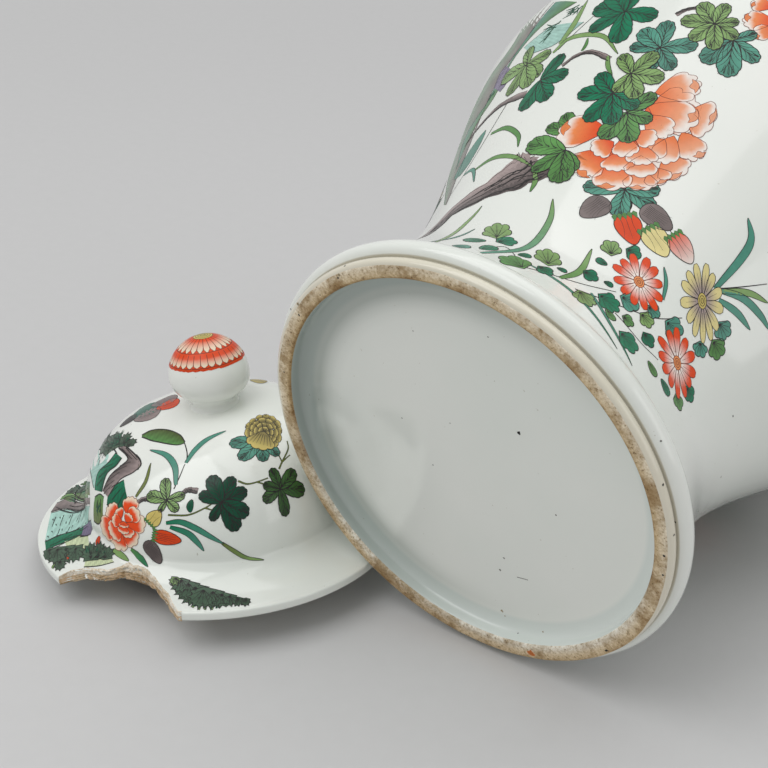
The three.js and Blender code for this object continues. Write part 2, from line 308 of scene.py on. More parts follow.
def inwards(outline, wall):
    """An outline moved inwards by a wall, at right angles to itself."""
    along = np.gradient(outline, axis=0)
    along /= np.linalg.norm(along, axis=1)[:, None]
    return outline + wall * np.stack([-along[:, 1], along[:, 0]], 1)


def body_outline():
    """The outside of the jar from the root of the foot to the base of the neck."""
    rise, swell = WAIST_HEIGHT - FOOT_HEIGHT, BELLY_HEIGHT - WAIST_HEIGHT
    narrowing = FOOT_FACE - WAIST_RADIUS
    shoulder, reach = NECK_BASE - BELLY_HEIGHT, BELLY_RADIUS - NECK_RADIUS
    foot = bezier(
        (FOOT_FACE, FOOT_HEIGHT),
        (FOOT_FACE - narrowing * (1 - FOOT_SWEEP), FOOT_HEIGHT + rise * FOOT_SWEEP),
        (WAIST_RADIUS, WAIST_HEIGHT - rise * FOOT_SWEEP),
        (WAIST_RADIUS, WAIST_HEIGHT), 24)
    belly = bezier(
        (WAIST_RADIUS, WAIST_HEIGHT),
        (WAIST_RADIUS, WAIST_HEIGHT + swell * WAIST_SWEEP),
        (BELLY_RADIUS, BELLY_HEIGHT - swell * BELLY_SWEEP),
        (BELLY_RADIUS, BELLY_HEIGHT), 72)
    top = bezier(
        (BELLY_RADIUS, BELLY_HEIGHT),
        (BELLY_RADIUS, BELLY_HEIGHT + shoulder * SHOULDER_SWEEP),
        (NECK_RADIUS + reach * SHOULDER_REACH, NECK_BASE - shoulder * SHOULDER_DROP),
        (NECK_RADIUS, NECK_BASE), 60)
    return joined(foot, belly, top)


def foot_outline():
    """The foot ring from the base's cove, over its face, to the root of the body."""
    return joined(
        rounded((BASE_COVE, BASE_DEPTH), (FOOT_INNER, BASE_DEPTH), (FOOT_INNER, BASE_DEPTH - COVE_ROUND), 8),
        straight((FOOT_INNER, BASE_DEPTH - COVE_ROUND), (FOOT_INNER, FACE_ROUND), 4),
        rounded((FOOT_INNER, FACE_ROUND), (FOOT_INNER, 0), (FOOT_INNER + FACE_ROUND, 0), 5),
        straight((FOOT_INNER + FACE_ROUND, 0), (FOOT_FACE - EDGE_ROUND, 0), 6),
        rounded((FOOT_FACE - EDGE_ROUND, 0), (FOOT_GROOVE + 0.3, 0), (FOOT_GROOVE, GROOVE_START), 6),
        rounded(
            (FOOT_GROOVE, GROOVE_START), (FOOT_GROOVE - 0.2, GROOVE_FLOOR),
            (FOOT_FACE + 0.2, BEAD_START), 5),
        bezier(
            (FOOT_FACE + 0.2, BEAD_START), (FOOT_BEAD + BEAD_LOW_PULL[0], BEAD_LOW_PULL[1]),
            (FOOT_BEAD + BEAD_HIGH_PULL[0], BEAD_HIGH_PULL[1]), (FOOT_FACE, FOOT_HEIGHT), 28))


def neck_outline():
    """The neck's outside, the rim and a little of the bore."""
    middle, lip = (NECK_BASE + JAR_HEIGHT) / 2, JAR_HEIGHT - LIP_ROUND
    return joined(
        bezier(
            (NECK_RADIUS, NECK_BASE), (NECK_WAIST, NECK_BASE + 4),
            (NECK_WAIST, middle - 6), (NECK_WAIST, middle), 16),
        bezier(
            (NECK_WAIST, middle), (NECK_WAIST, middle + 10),
            (NECK_RADIUS, JAR_HEIGHT - 8), (NECK_RADIUS, lip), 12),
        rounded((NECK_RADIUS, lip), (NECK_RADIUS, JAR_HEIGHT), (NECK_RADIUS - LIP_ROUND, JAR_HEIGHT)),
        straight((NECK_RADIUS - LIP_ROUND, JAR_HEIGHT), (BORE_RADIUS + LIP_ROUND, JAR_HEIGHT), 3),
        rounded((BORE_RADIUS + LIP_ROUND, JAR_HEIGHT), (BORE_RADIUS, JAR_HEIGHT), (BORE_RADIUS, lip)))


def inside_outline():
    """The jar's inside from the bore down to the middle of its floor."""
    wall = inwards(body_outline(), JAR_WALL)[::3][::-1]
    wall = wall[(wall[:, 0] > BORE_RADIUS + 3) & (wall[:, 1] > FOOT_HEIGHT + 10)]
    low = wall[-1]
    return joined(
        straight((BORE_RADIUS, JAR_HEIGHT - LIP_ROUND), (BORE_RADIUS, NECK_BASE), 8),
        rounded((BORE_RADIUS, NECK_BASE), (BORE_RADIUS, wall[0][1]), wall[0], 6),
        wall,
        rounded(low, (low[0], FOOT_HEIGHT), (low[0] - 12, FOOT_HEIGHT), 6),
        straight((low[0] - 12, FOOT_HEIGHT), (0, FOOT_HEIGHT), 12))


def dome_outline():
    rise, reach = DOME_TOP - DOME_FOOT, DOME_RADIUS - DOME_TOP_RADIUS
    return bezier(
        (DOME_RADIUS, DOME_FOOT), (DOME_RADIUS, DOME_FOOT + rise * DOME_RISE),
        (DOME_TOP_RADIUS + reach * DOME_REACH, DOME_TOP - rise * DOME_DROP), (DOME_TOP_RADIUS, DOME_TOP), 60)


def flange_outline():
    """The top of the flange from the rim to the foot of the dome."""
    width = RIM_RADIUS - DOME_RADIUS
    knots = [(RIM_RADIUS - RIM_ROUND, 0)]
    knots += [(RIM_RADIUS - width * inward, DOME_FOOT * up) for inward, up in FLANGE_TOP_SHARES]
    return smooth_through(np.array(knots + [(DOME_RADIUS, DOME_FOOT)]), 6)


# The two turned bodies: where each one's axis is, and the surface that the painting lies on

def record_mount(name):
    return next(m for m in frame["record"]["mounts"] if m["name"] == name)


class Skin:
    """A surface of revolution: an origin, an axis, and an outline of radius and height in millimetres. Where
    it warped in the kiln, its points are moved by a warp. Painting is laid out on the true shape and moved
    with it."""

    def __init__(self, body, origin, axis, side, outline, warp=None):
        self.body, self.warp = body, warp
        self.origin = np.array(origin, float)
        self.axis = np.array(axis, float) / np.linalg.norm(axis)
        side = np.array(side, float) - self.axis * np.dot(side, self.axis)
        self.side = side / np.linalg.norm(side)
        self.up = np.cross(self.axis, self.side)
        steps = np.linalg.norm(np.diff(outline, axis=0), axis=1)
        run = np.concatenate([[0], np.cumsum(steps)])
        self.run = np.arange(0, run[-1], OUTLINE_STEP)
        self.outline = np.stack([np.interp(self.run, run, outline[:, k]) for k in (0, 1)], 1)
        along = np.gradient(self.outline, axis=0)
        self.along = along / np.linalg.norm(along, axis=1)[:, None]
        self.tree = self.make_tree()

    def place(self, radius, height, angle):
        """Points in millimetres from radii, heights and angles in radians about the axis."""
        radius, height, angle = np.broadcast_arrays(radius, height, angle)
        out = np.cos(angle)[..., None] * self.side + np.sin(angle)[..., None] * self.up
        return self.origin + height[..., None] * self.axis + radius[..., None] * out

    def bent(self, points):
        """Points of the true shape, moved by the warp."""
        return points if self.warp is None else points + self.warp(self, points)

    def unbent(self, points):
        """Where points of the warped shape lie on the true one, found in a few rounds."""
        if self.warp is None:
            return points
        straightened = points
        for _ in range(4):
            straightened = points - self.warp(self, straightened)
        return straightened

    def make_tree(self):
        """The warped surface as faces that a line of sight can meet."""
        rows = self.outline[::TREE_STRIDE]
        angles = even_angles(TREE_COLUMNS)
        points = self.bent(self.place(rows[:, None, 0], rows[:, None, 1], angles[None, :]).reshape(-1, 3))
        faces = turned_over(grid_faces(len(rows), TREE_COLUMNS, wrap_columns=True))
        return BVHTree.FromPolygons(points.tolist(), faces)

    def on(self, points):
        """The nearest points of the surface, and its normals there."""
        offset = np.asarray(points, float) - self.origin
        height = offset @ self.axis
        out = offset - height[:, None] * self.axis
        radius = np.linalg.norm(out, axis=1)
        out /= np.maximum(radius, 1e-6)[:, None]
        flat = np.stack([radius, height], 1)
        parts = np.array_split(flat, len(flat) // 3000 + 1)
        nearest = np.concatenate([((part[:, None] - self.outline) ** 2).sum(2).argmin(1) for part in parts])
        along = self.along[nearest]
        slip = np.clip(((flat - self.outline[nearest]) * along).sum(1), -OUTLINE_STEP, OUTLINE_STEP)
        foot = self.outline[nearest] + slip[:, None] * along
        normal = along[:, 1:2] * out - along[:, 0:1] * self.axis
        return self.origin + foot[:, 1:2] * self.axis + foot[:, 0:1] * out, normal

    def seen(self, pixel):
        """The point of the surface that a pixel of the photograph shows."""
        direction = pixel_direction(pixel)
        hit = self.tree.ray_cast(Vector(CAMERA_AT), Vector(direction))[0]
        if hit is None:
            middle = self.origin + self.axis * self.outline[:, 1].mean()
            reach = np.dot(middle - CAMERA_AT, direction)
            hit = self.tree.find_nearest(Vector(np.array(CAMERA_AT) + direction * reach))[0]
        return self.unbent(np.array([hit]))[0]

    def at(self, azimuth, run):
        """The point at an azimuth in degrees and a distance along the outline from its start."""
        radius, height = (np.interp(run, self.run, self.outline[:, k]) for k in (0, 1))
        return self.place(radius, height, math.radians(azimuth))


def jar_skin():
    mount = record_mount("foot_face")
    origin = np.array(mount["pos_m"]) / MM - np.array([FOOT_POINT_RADIUS, 0, 0])
    return Skin("jar", origin, -np.array(mount["axis"]), (1, 0, 0), joined(body_outline(), neck_outline()))


def dome_warp(skin, points):
    """How the upper dome is out of true: its far right side stands higher, and its top is off the middle."""
    forward, right = camera_axes()[:2]
    level_forward = np.array([forward[0], forward[1], 0]) / math.hypot(*forward[:2])
    offset = points - skin.origin
    height = offset @ skin.axis
    rightward, backward = offset @ right, offset @ level_forward
    radius = np.linalg.norm(offset - height[:, None] * skin.axis, axis=1)
    strength = eased((height - DOME_FOOT) / WARP_RISE) * (1 - eased((height - DOME_TOP) / WARP_FADE))
    lean = WARP_RIGHT * np.clip(rightward / WARP_REACH, -1, 1.3)
    lean += WARP_BACK * np.clip(backward / WARP_REACH, -1, 1)
    lift = strength * (WARP_LIFT + lean)
    aside = strength * WARP_ASIDE * np.exp(-(radius / WARP_REACH) ** 2)
    return lift[:, None] * skin.axis + aside[:, None] * right


def cover_skin():
    mount = record_mount("cover_seat")
    towards = math.radians(COVER_LEAN_AZIMUTH)
    lean = Matrix.Rotation(math.radians(COVER_LEAN), 3, Vector((-math.sin(towards), math.cos(towards), 0)))
    origin = np.array(mount["pos_m"]) / MM - np.array(lean @ Vector((0, SEAT_POINT_RADIUS, 0)))
    side = np.array(lean @ Vector((1, 0, 0)))
    top = straight((DOME_TOP_RADIUS, DOME_TOP), (0.5, DOME_TOP), 10)
    outline = joined(flange_outline(), dome_outline(), top)
    return Skin("cover", origin, -np.array(mount["axis"]), side, outline, dome_warp)


def knob_skin(cover):
    angles = np.linspace(-0.8, math.pi / 2 - 0.01, 80)
    outline = np.stack([KNOB_RADIUS * np.cos(angles), KNOB_CENTRE + KNOB_RADIUS * np.sin(angles)], 1)
    return Skin("cover", cover.origin, cover.axis, cover.side, outline)


# Meshes

PAINT = "Paint"


def mesh_piece(name, points, faces, material, body, colours):
    """A named, smooth mesh in metres that rides on a body, with a colour on each point."""
    mesh = bpy.data.meshes.new(name)
    mesh.from_pydata((np.asarray(points) * MM).tolist(), [], faces)
    mesh.materials.append(material)
    mesh.polygons.foreach_set("use_smooth", [True] * len(mesh.polygons))
    layer = mesh.color_attributes.new(PAINT, "FLOAT_COLOR", "POINT")
    full = np.concatenate([colours, np.ones((len(colours), 1))], 1)
    layer.data.foreach_set("color", full.astype(np.float32).ravel())
    mesh.update()
    piece = bpy.data.objects.new(name, mesh)
    bpy.context.scene.collection.objects.link(piece)
    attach(piece, body)
    return piece


def turned(name, skin, outline, angles, material, colours, reshape=None, loop=False):
    """A surface of revolution with a colour for each outline point, or for each point of its grid. A loop is
    an outline that closes on itself. Points on the axis are shared."""
    rows, columns = len(outline), len(angles)
    radius = np.repeat(outline[:, 0:1], columns, 1)
    height = np.repeat(outline[:, 1:2], columns, 1)
    if reshape is not None:
        radius, height = reshape(radius, height, angles)
    points = skin.bent(skin.place(radius, height, angles[None, :]).reshape(-1, 3))
    index = np.arange(rows * columns).reshape(rows, columns)
    on_axis = np.where(outline[:, 0] < 1e-6)[0]
    index[on_axis] = index[on_axis, :1]
    index = index.ravel()
    faces = []
    for face in grid_faces(rows, columns, wrap_rows=loop, wrap_columns=True):
        corners = index[list(face)]
        kept = [corner for n, corner in enumerate(corners) if corner != corners[n - 1]]
        if len(kept) > 2:
            faces.append(kept)
    used = np.unique(np.concatenate(faces))
    renumber = np.full(rows * columns, -1)
    renumber[used] = np.arange(len(used))
    faces = [renumber[face].tolist() for face in faces]
    spread = colours if colours.ndim == 3 else np.repeat(colours[:, None], columns, 1)
    return mesh_piece(name, points[used], faces, material, skin.body, spread.reshape(-1, 3)[used])


# Materials

def feed(tree, sockets, values):
    """Sets sockets, by name or number, to numbers or colours, or links them to other nodes."""
    for name, value in values.items():
        if isinstance(value, bpy.types.NodeSocket):
            tree.links.new(value, sockets[name])
        else:
            sockets[name].default_value = (*value, 1) if np.ndim(value) else value


def new_node(tree, kind, values, **settings):
    node = tree.nodes.new("ShaderNode" + kind)
    for name, value in settings.items():
        setattr(node, name, value)
    feed(tree, node.inputs, values)
    return node


def new_material(name):
    material = bpy.data.materials.new(name)
    material.use_nodes = True
    tree = material.node_tree
    shader = next(n for n in tree.nodes if n.type == "BSDF_PRINCIPLED")
    return material, tree, shader


def noise(tree, scale, detail=4, roughness=0.55):
    where = new_node(tree, "TexCoord", {}).outputs["Object"]
    values = {"Scale": scale, "Detail": detail, "Roughness": roughness, "Vector": where}
    return new_node(tree, "TexNoise", values).outputs["Fac"]


def ramp(tree, value, stops):
    """Maps a value to a colour through stops of (place, colour)."""
    node = new_node(tree, "ValToRGB", {"Fac": value})
    elements = node.color_ramp.elements
    while len(elements) < len(stops):
        elements.new(0.5)
    for element, (place, colour) in zip(elements, stops):
        element.position = place
        element.color = (*np.broadcast_to(colour, 3), 1)
    return node.outputs["Color"]


def blended(tree, first, second, amount, mode="MIX"):
    node = new_node(tree, "Mix", {"Factor": amount}, data_type="RGBA", blend_type=mode)
    feed(tree, {s.name: s for s in node.inputs if s.type == "RGBA"}, {"A": first, "B": second})
    return next(s for s in node.outputs if s.type == "RGBA")


def tinted(tree, colour, *tints):
    """A colour multiplied by others in turn."""
    for tint in tints:
        colour = blended(tree, colour, tint, 1, "MULTIPLY")
    return colour


def bump(tree, height, strength, distance):
    values = {"Strength": strength, "Distance": distance, "Height": height}
    return new_node(tree, "Bump", values).outputs["Normal"]


def paint_colour(tree):
    return new_node(tree, "VertexColor", {}, layer_name=PAINT).outputs["Color"]


def glaze_material():
    """Clear glaze over white porcelain: a faint green cast that drifts, small specks and a wavy skin."""
    material, tree, shader = new_material("porcelain_glaze")
    drift = ramp(tree, noise(tree, scale=9, detail=3),
                 [(0.3, srgb(248, 251, 249)), (0.7, srgb(255, 255, 254))])
    specks = ramp(tree, noise(tree, scale=420, detail=2, roughness=0.4),
                  [(0.2, srgb(196, 190, 176)), (0.235, WHITE)])
    feed(tree, shader.inputs, {
        "Base Color": blended(tree, tinted(tree, paint_colour(tree), drift), specks, 0.6, "MULTIPLY"),
        "Roughness": ramp(tree, noise(tree, scale=60, detail=3), [(0.3, 0.09), (0.75, 0.15)]),
        "Coat Weight": 0.3,
        "Coat Roughness": 0.06,
        "Normal": bump(tree, noise(tree, scale=70, detail=2), strength=0.06, distance=0.0006),
    })
    return material


def biscuit_material(name, pits, stains):
    """Unglazed body in the colours painted on its points, with darker grains, pits and stains."""
    material, tree, shader = new_material(name)
    grain = ramp(tree, noise(tree, scale=620, detail=5, roughness=0.75),
                 [(0.32, pits), (0.42, srgb(226, 216, 200)), (0.62, WHITE)])
    cloud = ramp(tree, noise(tree, scale=60, detail=6, roughness=0.7),
                 [(0.4, stains), (0.57, srgb(255, 253, 249))])
    clouded = blended(tree, grain, cloud, 0.85, "MULTIPLY")
    rough = noise(tree, scale=900, detail=6, roughness=0.7)
    feed(tree, shader.inputs, {
        "Base Color": tinted(tree, clouded, paint_colour(tree)),
        "Roughness": 0.82,
        "Normal": bump(tree, rough, strength=0.5, distance=0.0004),
    })
    return material


def enamel_material(name, roughness, mottling):
    """Overglaze enamel in the colour that each point was painted, pooled a little unevenly."""
    material, tree, shader = new_material(name)
    pooled = ramp(tree, noise(tree, scale=260), [(0.3, WHITE * (1 - mottling)), (0.7, WHITE)])
    palest = WHITE * (1 - mottling * 0.6)
    washed = ramp(tree, noise(tree, scale=55, detail=3), [(0.3, palest), (0.65, WHITE)])
    gloss = [(0.3, roughness), (0.7, roughness + 0.12)]
    feed(tree, shader.inputs, {
        "Base Color": tinted(tree, paint_colour(tree), pooled, washed),
        "Roughness": ramp(tree, noise(tree, scale=120, detail=3), gloss),
        "Specular IOR Level": 0.3,
        "Normal": bump(tree, noise(tree, scale=300, detail=3), strength=0.12, distance=0.0003),
    })
    return material


def combined(tree, operation, first, second):
    return new_node(tree, "Math", {0: first, 1: second}, operation=operation).outputs["Value"]


def looked_at(tree):
    """1 where the camera looks, also by way of a gloss or through glass, and 0 for light on a thing."""
    path = new_node(tree, "LightPath", {}).outputs
    mirrored = combined(tree, "MAXIMUM", path["Is Camera Ray"], path["Is Glossy Ray"])
    return combined(tree, "MAXIMUM", mirrored, path["Is Transmission Ray"])


def floor_material():
    """Grey paper that fades into the background far from the vessels."""
    material, tree, shader = new_material("grey_paper")
    fibre = ramp(tree, noise(tree, scale=90), [(0.3, FLOOR * 0.985), (0.7, FLOOR)])
    feed(tree, shader.inputs, {"Base Color": fibre, "Roughness": 0.9, "Specular IOR Level": 0.1})
    where = new_node(tree, "NewGeometry", {}).outputs["Position"]
    distance = new_node(tree, "VectorMath", {0: where}, operation="LENGTH").outputs["Value"]
    reach = {"Value": distance, "From Min": FLOOR_FADE_START, "From Max": FLOOR_FADE_END}
    fade = new_node(tree, "MapRange", reach, interpolation_type="SMOOTHSTEP").outputs["Result"]
    backdrop = new_node(tree, "Emission", {"Color": fibre}).outputs["Emission"]
    share = combined(tree, "MULTIPLY", fade, looked_at(tree))
    surface = new_node(tree, "MixShader", {0: share, 1: shader.outputs["BSDF"], 2: backdrop})
    output = next(n for n in tree.nodes if n.type == "OUTPUT_MATERIAL")
    feed(tree, output.inputs, {"Surface": surface.outputs["Shader"]})
    return material


# The vessels

def shades(outline, *bands):
    """A colour for each outline point: the glaze, and other colours on the points that each band chooses."""
    colours = np.repeat(GLAZE[None], len(outline), 0)
    for chosen, colour in bands:
        colours[chosen] = colour
    return colours


def painted_cove_shade(outline, angles, count):
    """How much painted shade darkens the glaze in the corner round the base, for each outline point and
    angle:
    most on one side and none on the other. The corner lies within the first points of the outline, as many
    as the count says."""
    radius, height = outline[:, 0], outline[:, 1]
    inside = np.clip((radius - BASE_COVE + COVE_SHADE_FADE) / COVE_SHADE_FADE, 0, 1)
    inside *= (height < BASE_DEPTH + CORNER_HEIGHT) & (radius < FOOT_INNER + 1)
    inside *= np.arange(len(outline)) < count
    # Painted shade by angle: none on the lightest side, full on the far side.
    shadedness = eased(0.5 - 0.7 * np.cos(angles - math.radians(COVE_SHADE_LIGHTEST)))
    return COVE_SHADE_DEPTH * inside[:, None] ** 2 * shadedness


def make_jar(jar, glaze, biscuit):
    """The glazed shell, outside and inside, with painted shade on one side of the corner round the base, and
    the unglazed ring that it stands on.
    """
    base, foot = straight((0, BASE_DEPTH), (BASE_COVE, BASE_DEPTH), BASE_STEPS), foot_outline()
    outline = joined(base, foot, body_outline(), neck_outline(), inside_outline())
    radius, height = outline[:, 0], outline[:, 1]
    low, high = GROOVE_HEIGHTS
    outside = (radius > FOOT_FACE - TINT_INSET) & (height < FOOT_HEIGHT)
    chamfer = outside & (height < CHAMFER_HEIGHT)
    groove = outside & (height > low) & (height < high) & (radius < FOOT_BEAD - GROOVE_INSET)
    corner = (radius > BASE_COVE + CORNER_START) & (radius < FOOT_INNER + CORNER_END)
    corner &= height < BASE_DEPTH + CORNER_HEIGHT
    colours = shades(outline, (corner, COVE_GLAZE), (chamfer, CREAM), (groove, GROOVE))
    angles = even_angles(JAR_COLUMNS)
    # The corner round the base gets painted shade, darkest on one side.
    pooled = painted_cove_shade(outline, angles, len(foot) + BASE_STEPS)
    colours = colours[:, None] * (1 - pooled[:, :, None] * COVE_SHADE)
    shell = turned("jar_shell", jar, outline, angles, glaze, colours)
    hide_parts("jar_base", "jar_lower_body", "jar_upper_body", "jar_neck")
    make_foot_face(jar, biscuit)


def make_foot_face(jar, biscuit):
    """The unglazed ring, with a wavering outer edge."""
    inner = [(FOOT_INNER + step, height) for step, height in RING_INSIDE]
    outer = [(FOOT_FACE + step, height) for step, height in RING_OUTSIDE]
    bare = joined(
        straight(inner[0], inner[1], 2), rounded(*inner[1:], 5), straight(inner[3], outer[0], 8),
        rounded(*outer[:3], 4), straight(outer[2], outer[3], 2))
    angles = even_angles(JAR_COLUMNS * 2)
    wider = wave(angles, np.random.default_rng(SEED), 0.5) + RING_WIDER * eased(np.sin(angles))

    def worn(radius, height, angles):
        outer_part = np.clip(radius - FOOT_INNER - 6, 0, 1)
        return radius + outer_part * wider[None, :], height

    share = np.clip((bare[:, 0] - FOOT_INNER - 0.5) / (FOOT_FACE - FOOT_INNER - 1), 0, 1)
    high, low = (
        np.stack([np.interp(share, RING_SHARES, channel) for channel in np.transpose(tints)], 1)
        for tints in (RING_HIGH, RING_LOW))
    # Painted light and shade with the clay's own colours: each edge of the ring is lighter where it faces
    # up.
    lowness = eased(1.5 * np.sin(angles) + 0.1)[None, :, None]
    tints = high[:, None] * (1 - lowness) + low[:, None] * lowness
    ring = turned("foot_ring_face", jar, bare, angles, biscuit, tints, worn, loop=True)
    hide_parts("jar_foot_ring")


def bite_cut(angles):
    """How far out the flange reaches at each angle."""
    share = (np.degrees(angles) - BITE_START) % 360 / BITE_SWEEP
    reach = RIM_RADIUS - BITE_DEPTH * np.interp(share, *np.transpose(BITE_SHARES))
    return np.where(share <= 1, np.minimum(reach, RIM_RADIUS), RIM_RADIUS)


def underside(radius):
    """The height of the flange's underside, which slopes from its seat down to its flat edge."""
    return np.interp(radius, [SEAT_OUTER, RIM_RADIUS - UNDERSIDE_FLAT], [0, -RIM_THICKNESS])


def cover_angles():
    start, end = math.radians(BITE_START), math.radians(BITE_START + BITE_SWEEP)
    margin = math.radians(1)
    inside = np.linspace(start - margin, end + margin, BITE_COLUMNS, endpoint=False)
    outside = np.linspace(end + margin, start - margin + 2 * math.pi, COVER_COLUMNS, endpoint=False)
    return np.concatenate([inside, outside])


def make_cover(cover, glaze, biscuit):
    """The flange and dome, with the bite out of the rim, and the bare tongue below."""
    dome = dome_outline()
    inner_dome = inwards(dome, DOME_WALL)[::3]
    inner_dome = inner_dome[inner_dome[:, 0] > 6]
    tongue_inner = TONGUE_OUTER - TONGUE_WALL
    top = straight((0, DOME_TOP), (DOME_TOP_RADIUS, DOME_TOP), 6)
    upper = joined(top, dome[::-1], flange_outline()[::-1])
    edge = joined(
        rounded((RIM_RADIUS - RIM_ROUND, 0), (RIM_RADIUS, 0), (RIM_RADIUS, -RIM_ROUND)),
        straight((RIM_RADIUS, -RIM_ROUND), (RIM_RADIUS, -RIM_THICKNESS + RIM_ROUND), 2),
        rounded(
            (RIM_RADIUS, -RIM_THICKNESS + RIM_ROUND), (RIM_RADIUS, -RIM_THICKNESS),
            (RIM_RADIUS - RIM_ROUND, -RIM_THICKNESS)))
    under = joined(
        straight((RIM_RADIUS - RIM_ROUND, -RIM_THICKNESS), (RIM_RADIUS - UNDERSIDE_FLAT, -RIM_THICKNESS), 6),
        straight((RIM_RADIUS - UNDERSIDE_FLAT, -RIM_THICKNESS), (SEAT_OUTER, 0), 10),
        straight((SEAT_OUTER, 0), (tongue_inner, 0), 8),
        rounded((tongue_inner, 0), (tongue_inner + 3, DOME_FOOT / 2), inner_dome[0], 6),
        inner_dome, straight(inner_dome[-1], (0, DOME_TOP - DOME_WALL), 4))
    outline = joined(upper, edge, under)
    angles = cover_angles()
    stations = RIM_RADIUS - np.arange(0, BITE_REACH, OUTLINE_STEP)
    slope = np.stack([stations, slope_height(upper, stations)], 1)

    def bitten(radius, height, angles):
        """Pulls whatever lies beyond the bite back to it, and keeps it on the flange's faces."""
        cut = bite_cut(angles)
        full = np.clip((RIM_RADIUS - RIM_ROUND - cut) / RIM_ROUND, 0, 1)
        target = np.where(height > -RIM_THICKNESS / 2, slope_height(slope, cut), underside(cut))
        moved = height * (1 - full) + target * full
        beyond = radius > cut
        return np.where(beyond, cut, radius), np.where(beyond, moved, height)

    shell = turned("cover_shell", cover, outline, angles, glaze, shades(outline), bitten)
    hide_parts("cover_flange", "cover_dome")
    low, lip = -TONGUE_DEPTH, TONGUE_ROUND - TONGUE_DEPTH
    tongue = joined(
        straight((tongue_inner, 1), (tongue_inner, lip), 6),
        rounded((tongue_inner, lip), (tongue_inner, low), (tongue_inner + TONGUE_ROUND, low)),
        straight((tongue_inner + TONGUE_ROUND, low), (TONGUE_OUTER - TONGUE_ROUND, low), 3),
        rounded((TONGUE_OUTER - TONGUE_ROUND, low), (TONGUE_OUTER, low), (TONGUE_OUTER, lip)),
        straight((TONGUE_OUTER, lip), (TONGUE_OUTER, 1), 6))
    tints = np.repeat(BARE_TONGUE[None], len(tongue), 0)
    around = even_angles(JAR_COLUMNS)
    bare = turned("tongue_bare", cover, tongue, around, biscuit, tints, loop=True)
    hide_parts("cover_tongue")


def make_break(cover, biscuit):
    """The broken face of the bite: rough bare body between two flaked edges of glaze."""
    start, end = math.radians(BITE_START), math.radians(BITE_START + BITE_SWEEP)
    angles = np.linspace(start + 0.004, end - 0.004, BITE_COLUMNS * 2)
    cut = np.minimum(bite_cut(angles), RIM_RADIUS - 0.3)
    generator = np.random.default_rng(SEED + 1)
    flange = flange_outline()
    top, below = slope_height(flange, cut), underside(cut)
    lip = LIP_WIDTH + LIP_WAVER * np.abs(wave(angles * 6, generator, 1.2))
    rough = 0
    for reach, size in BREAK_BUMPS:
        rough = rough + smoothed_noise(generator, BREAK_ROWS, len(angles), reach) * size
    rows = [(cut - lip, slope_height(flange, cut - lip) + 0.02, FLAKE),
            (cut - lip * 0.5, slope_height(flange, cut - lip * 0.5) + 0.14, FLAKE)]
    for k, level in enumerate(np.linspace(0, 1, BREAK_ROWS)):
        swell = EDGE_SWELL + MIDDLE_SWELL * math.sin(math.pi * level)
        height = top + 0.1 + (below - top - 0.15) * level
        rows.append((cut + swell * 0.5 + rough[k], height, FLAKE if level < FLAKE_SHARE else BREAK))
    rows += [(cut - 1.2, below - 0.08, BREAK), (cut - 3, below + 0.6, BREAK)]
    radius, height, colours = (np.array(column) for column in zip(*rows))
    points = cover.place(radius, height, angles[None, :])
    count, columns = radius.shape
    faces = grid_faces(count, columns, wrap_rows=True)
    first_cap = list(range(0, count * columns, columns))
    last_cap = [corner + columns - 1 for corner in first_cap]
    faces += [first_cap, last_cap[::-1]]
    tints = np.repeat(colours[:, None], columns, 1).reshape(-1, 3)
    patches = smoothed_noise(generator, count, columns, 9).reshape(-1, 1)
    stained = np.clip(patches * 1.6 - 0.1, 0, 1) * (tints[:, 2:] < FLAKE[2] - 0.01)
    tints = tints * (1 - stained) + STAIN * stained
    mesh_piece("flange_break", points.reshape(-1, 3), faces, biscuit, "cover", tints)


def make_knob(cover, glaze):
    """The ball and its short stem, in one glaze."""
    angles = np.linspace(-math.acos(KNOB_JOIN), math.pi / 2, 60)
    squash = np.where(angles < 0, KNOB_SQUASH, 1)
    ball = np.stack([KNOB_RADIUS * np.cos(angles), KNOB_CENTRE + KNOB_RADIUS * squash * np.sin(angles)], 1)
    ball[-1, 0] = 0
    foot = (STEM_FOOT + STEM_SUNK[0], DOME_TOP + STEM_SUNK[1])
    pull = (STEM_WAIST + STEM_LOW_PULL[0], DOME_TOP + STEM_LOW_PULL[1])
    stem = bezier(foot, pull, ball[0] + STEM_HIGH_PULL, ball[0], 20)
    outline = joined(straight((0, DOME_TOP - 1.2), foot, 4), stem, ball)
    around = even_angles(KNOB_COLUMNS)
    finial = turned("cover_finial", cover, outline, around, glaze, shades(outline))
    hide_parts("cover_knob_stem", "cover_knob")


# Painting: places on a skin, and a brush that leaves raised patches and strokes there

# How thick a coat of enamel is, how much each level adds, and by what share it is thinner at its edge
LIFT, LEVEL, THIN_EDGE = 0.07, 0.03, 0.3

# The rings of points in a patch, as shares of its size, and the points of a band
PATCH_RINGS = (0.3, 0.58, 0.8, 0.93, 1)
SMALL_RINGS = (0.55, 0.9, 1)
BAND_ROWS, BAND_COLUMNS = 5, 48


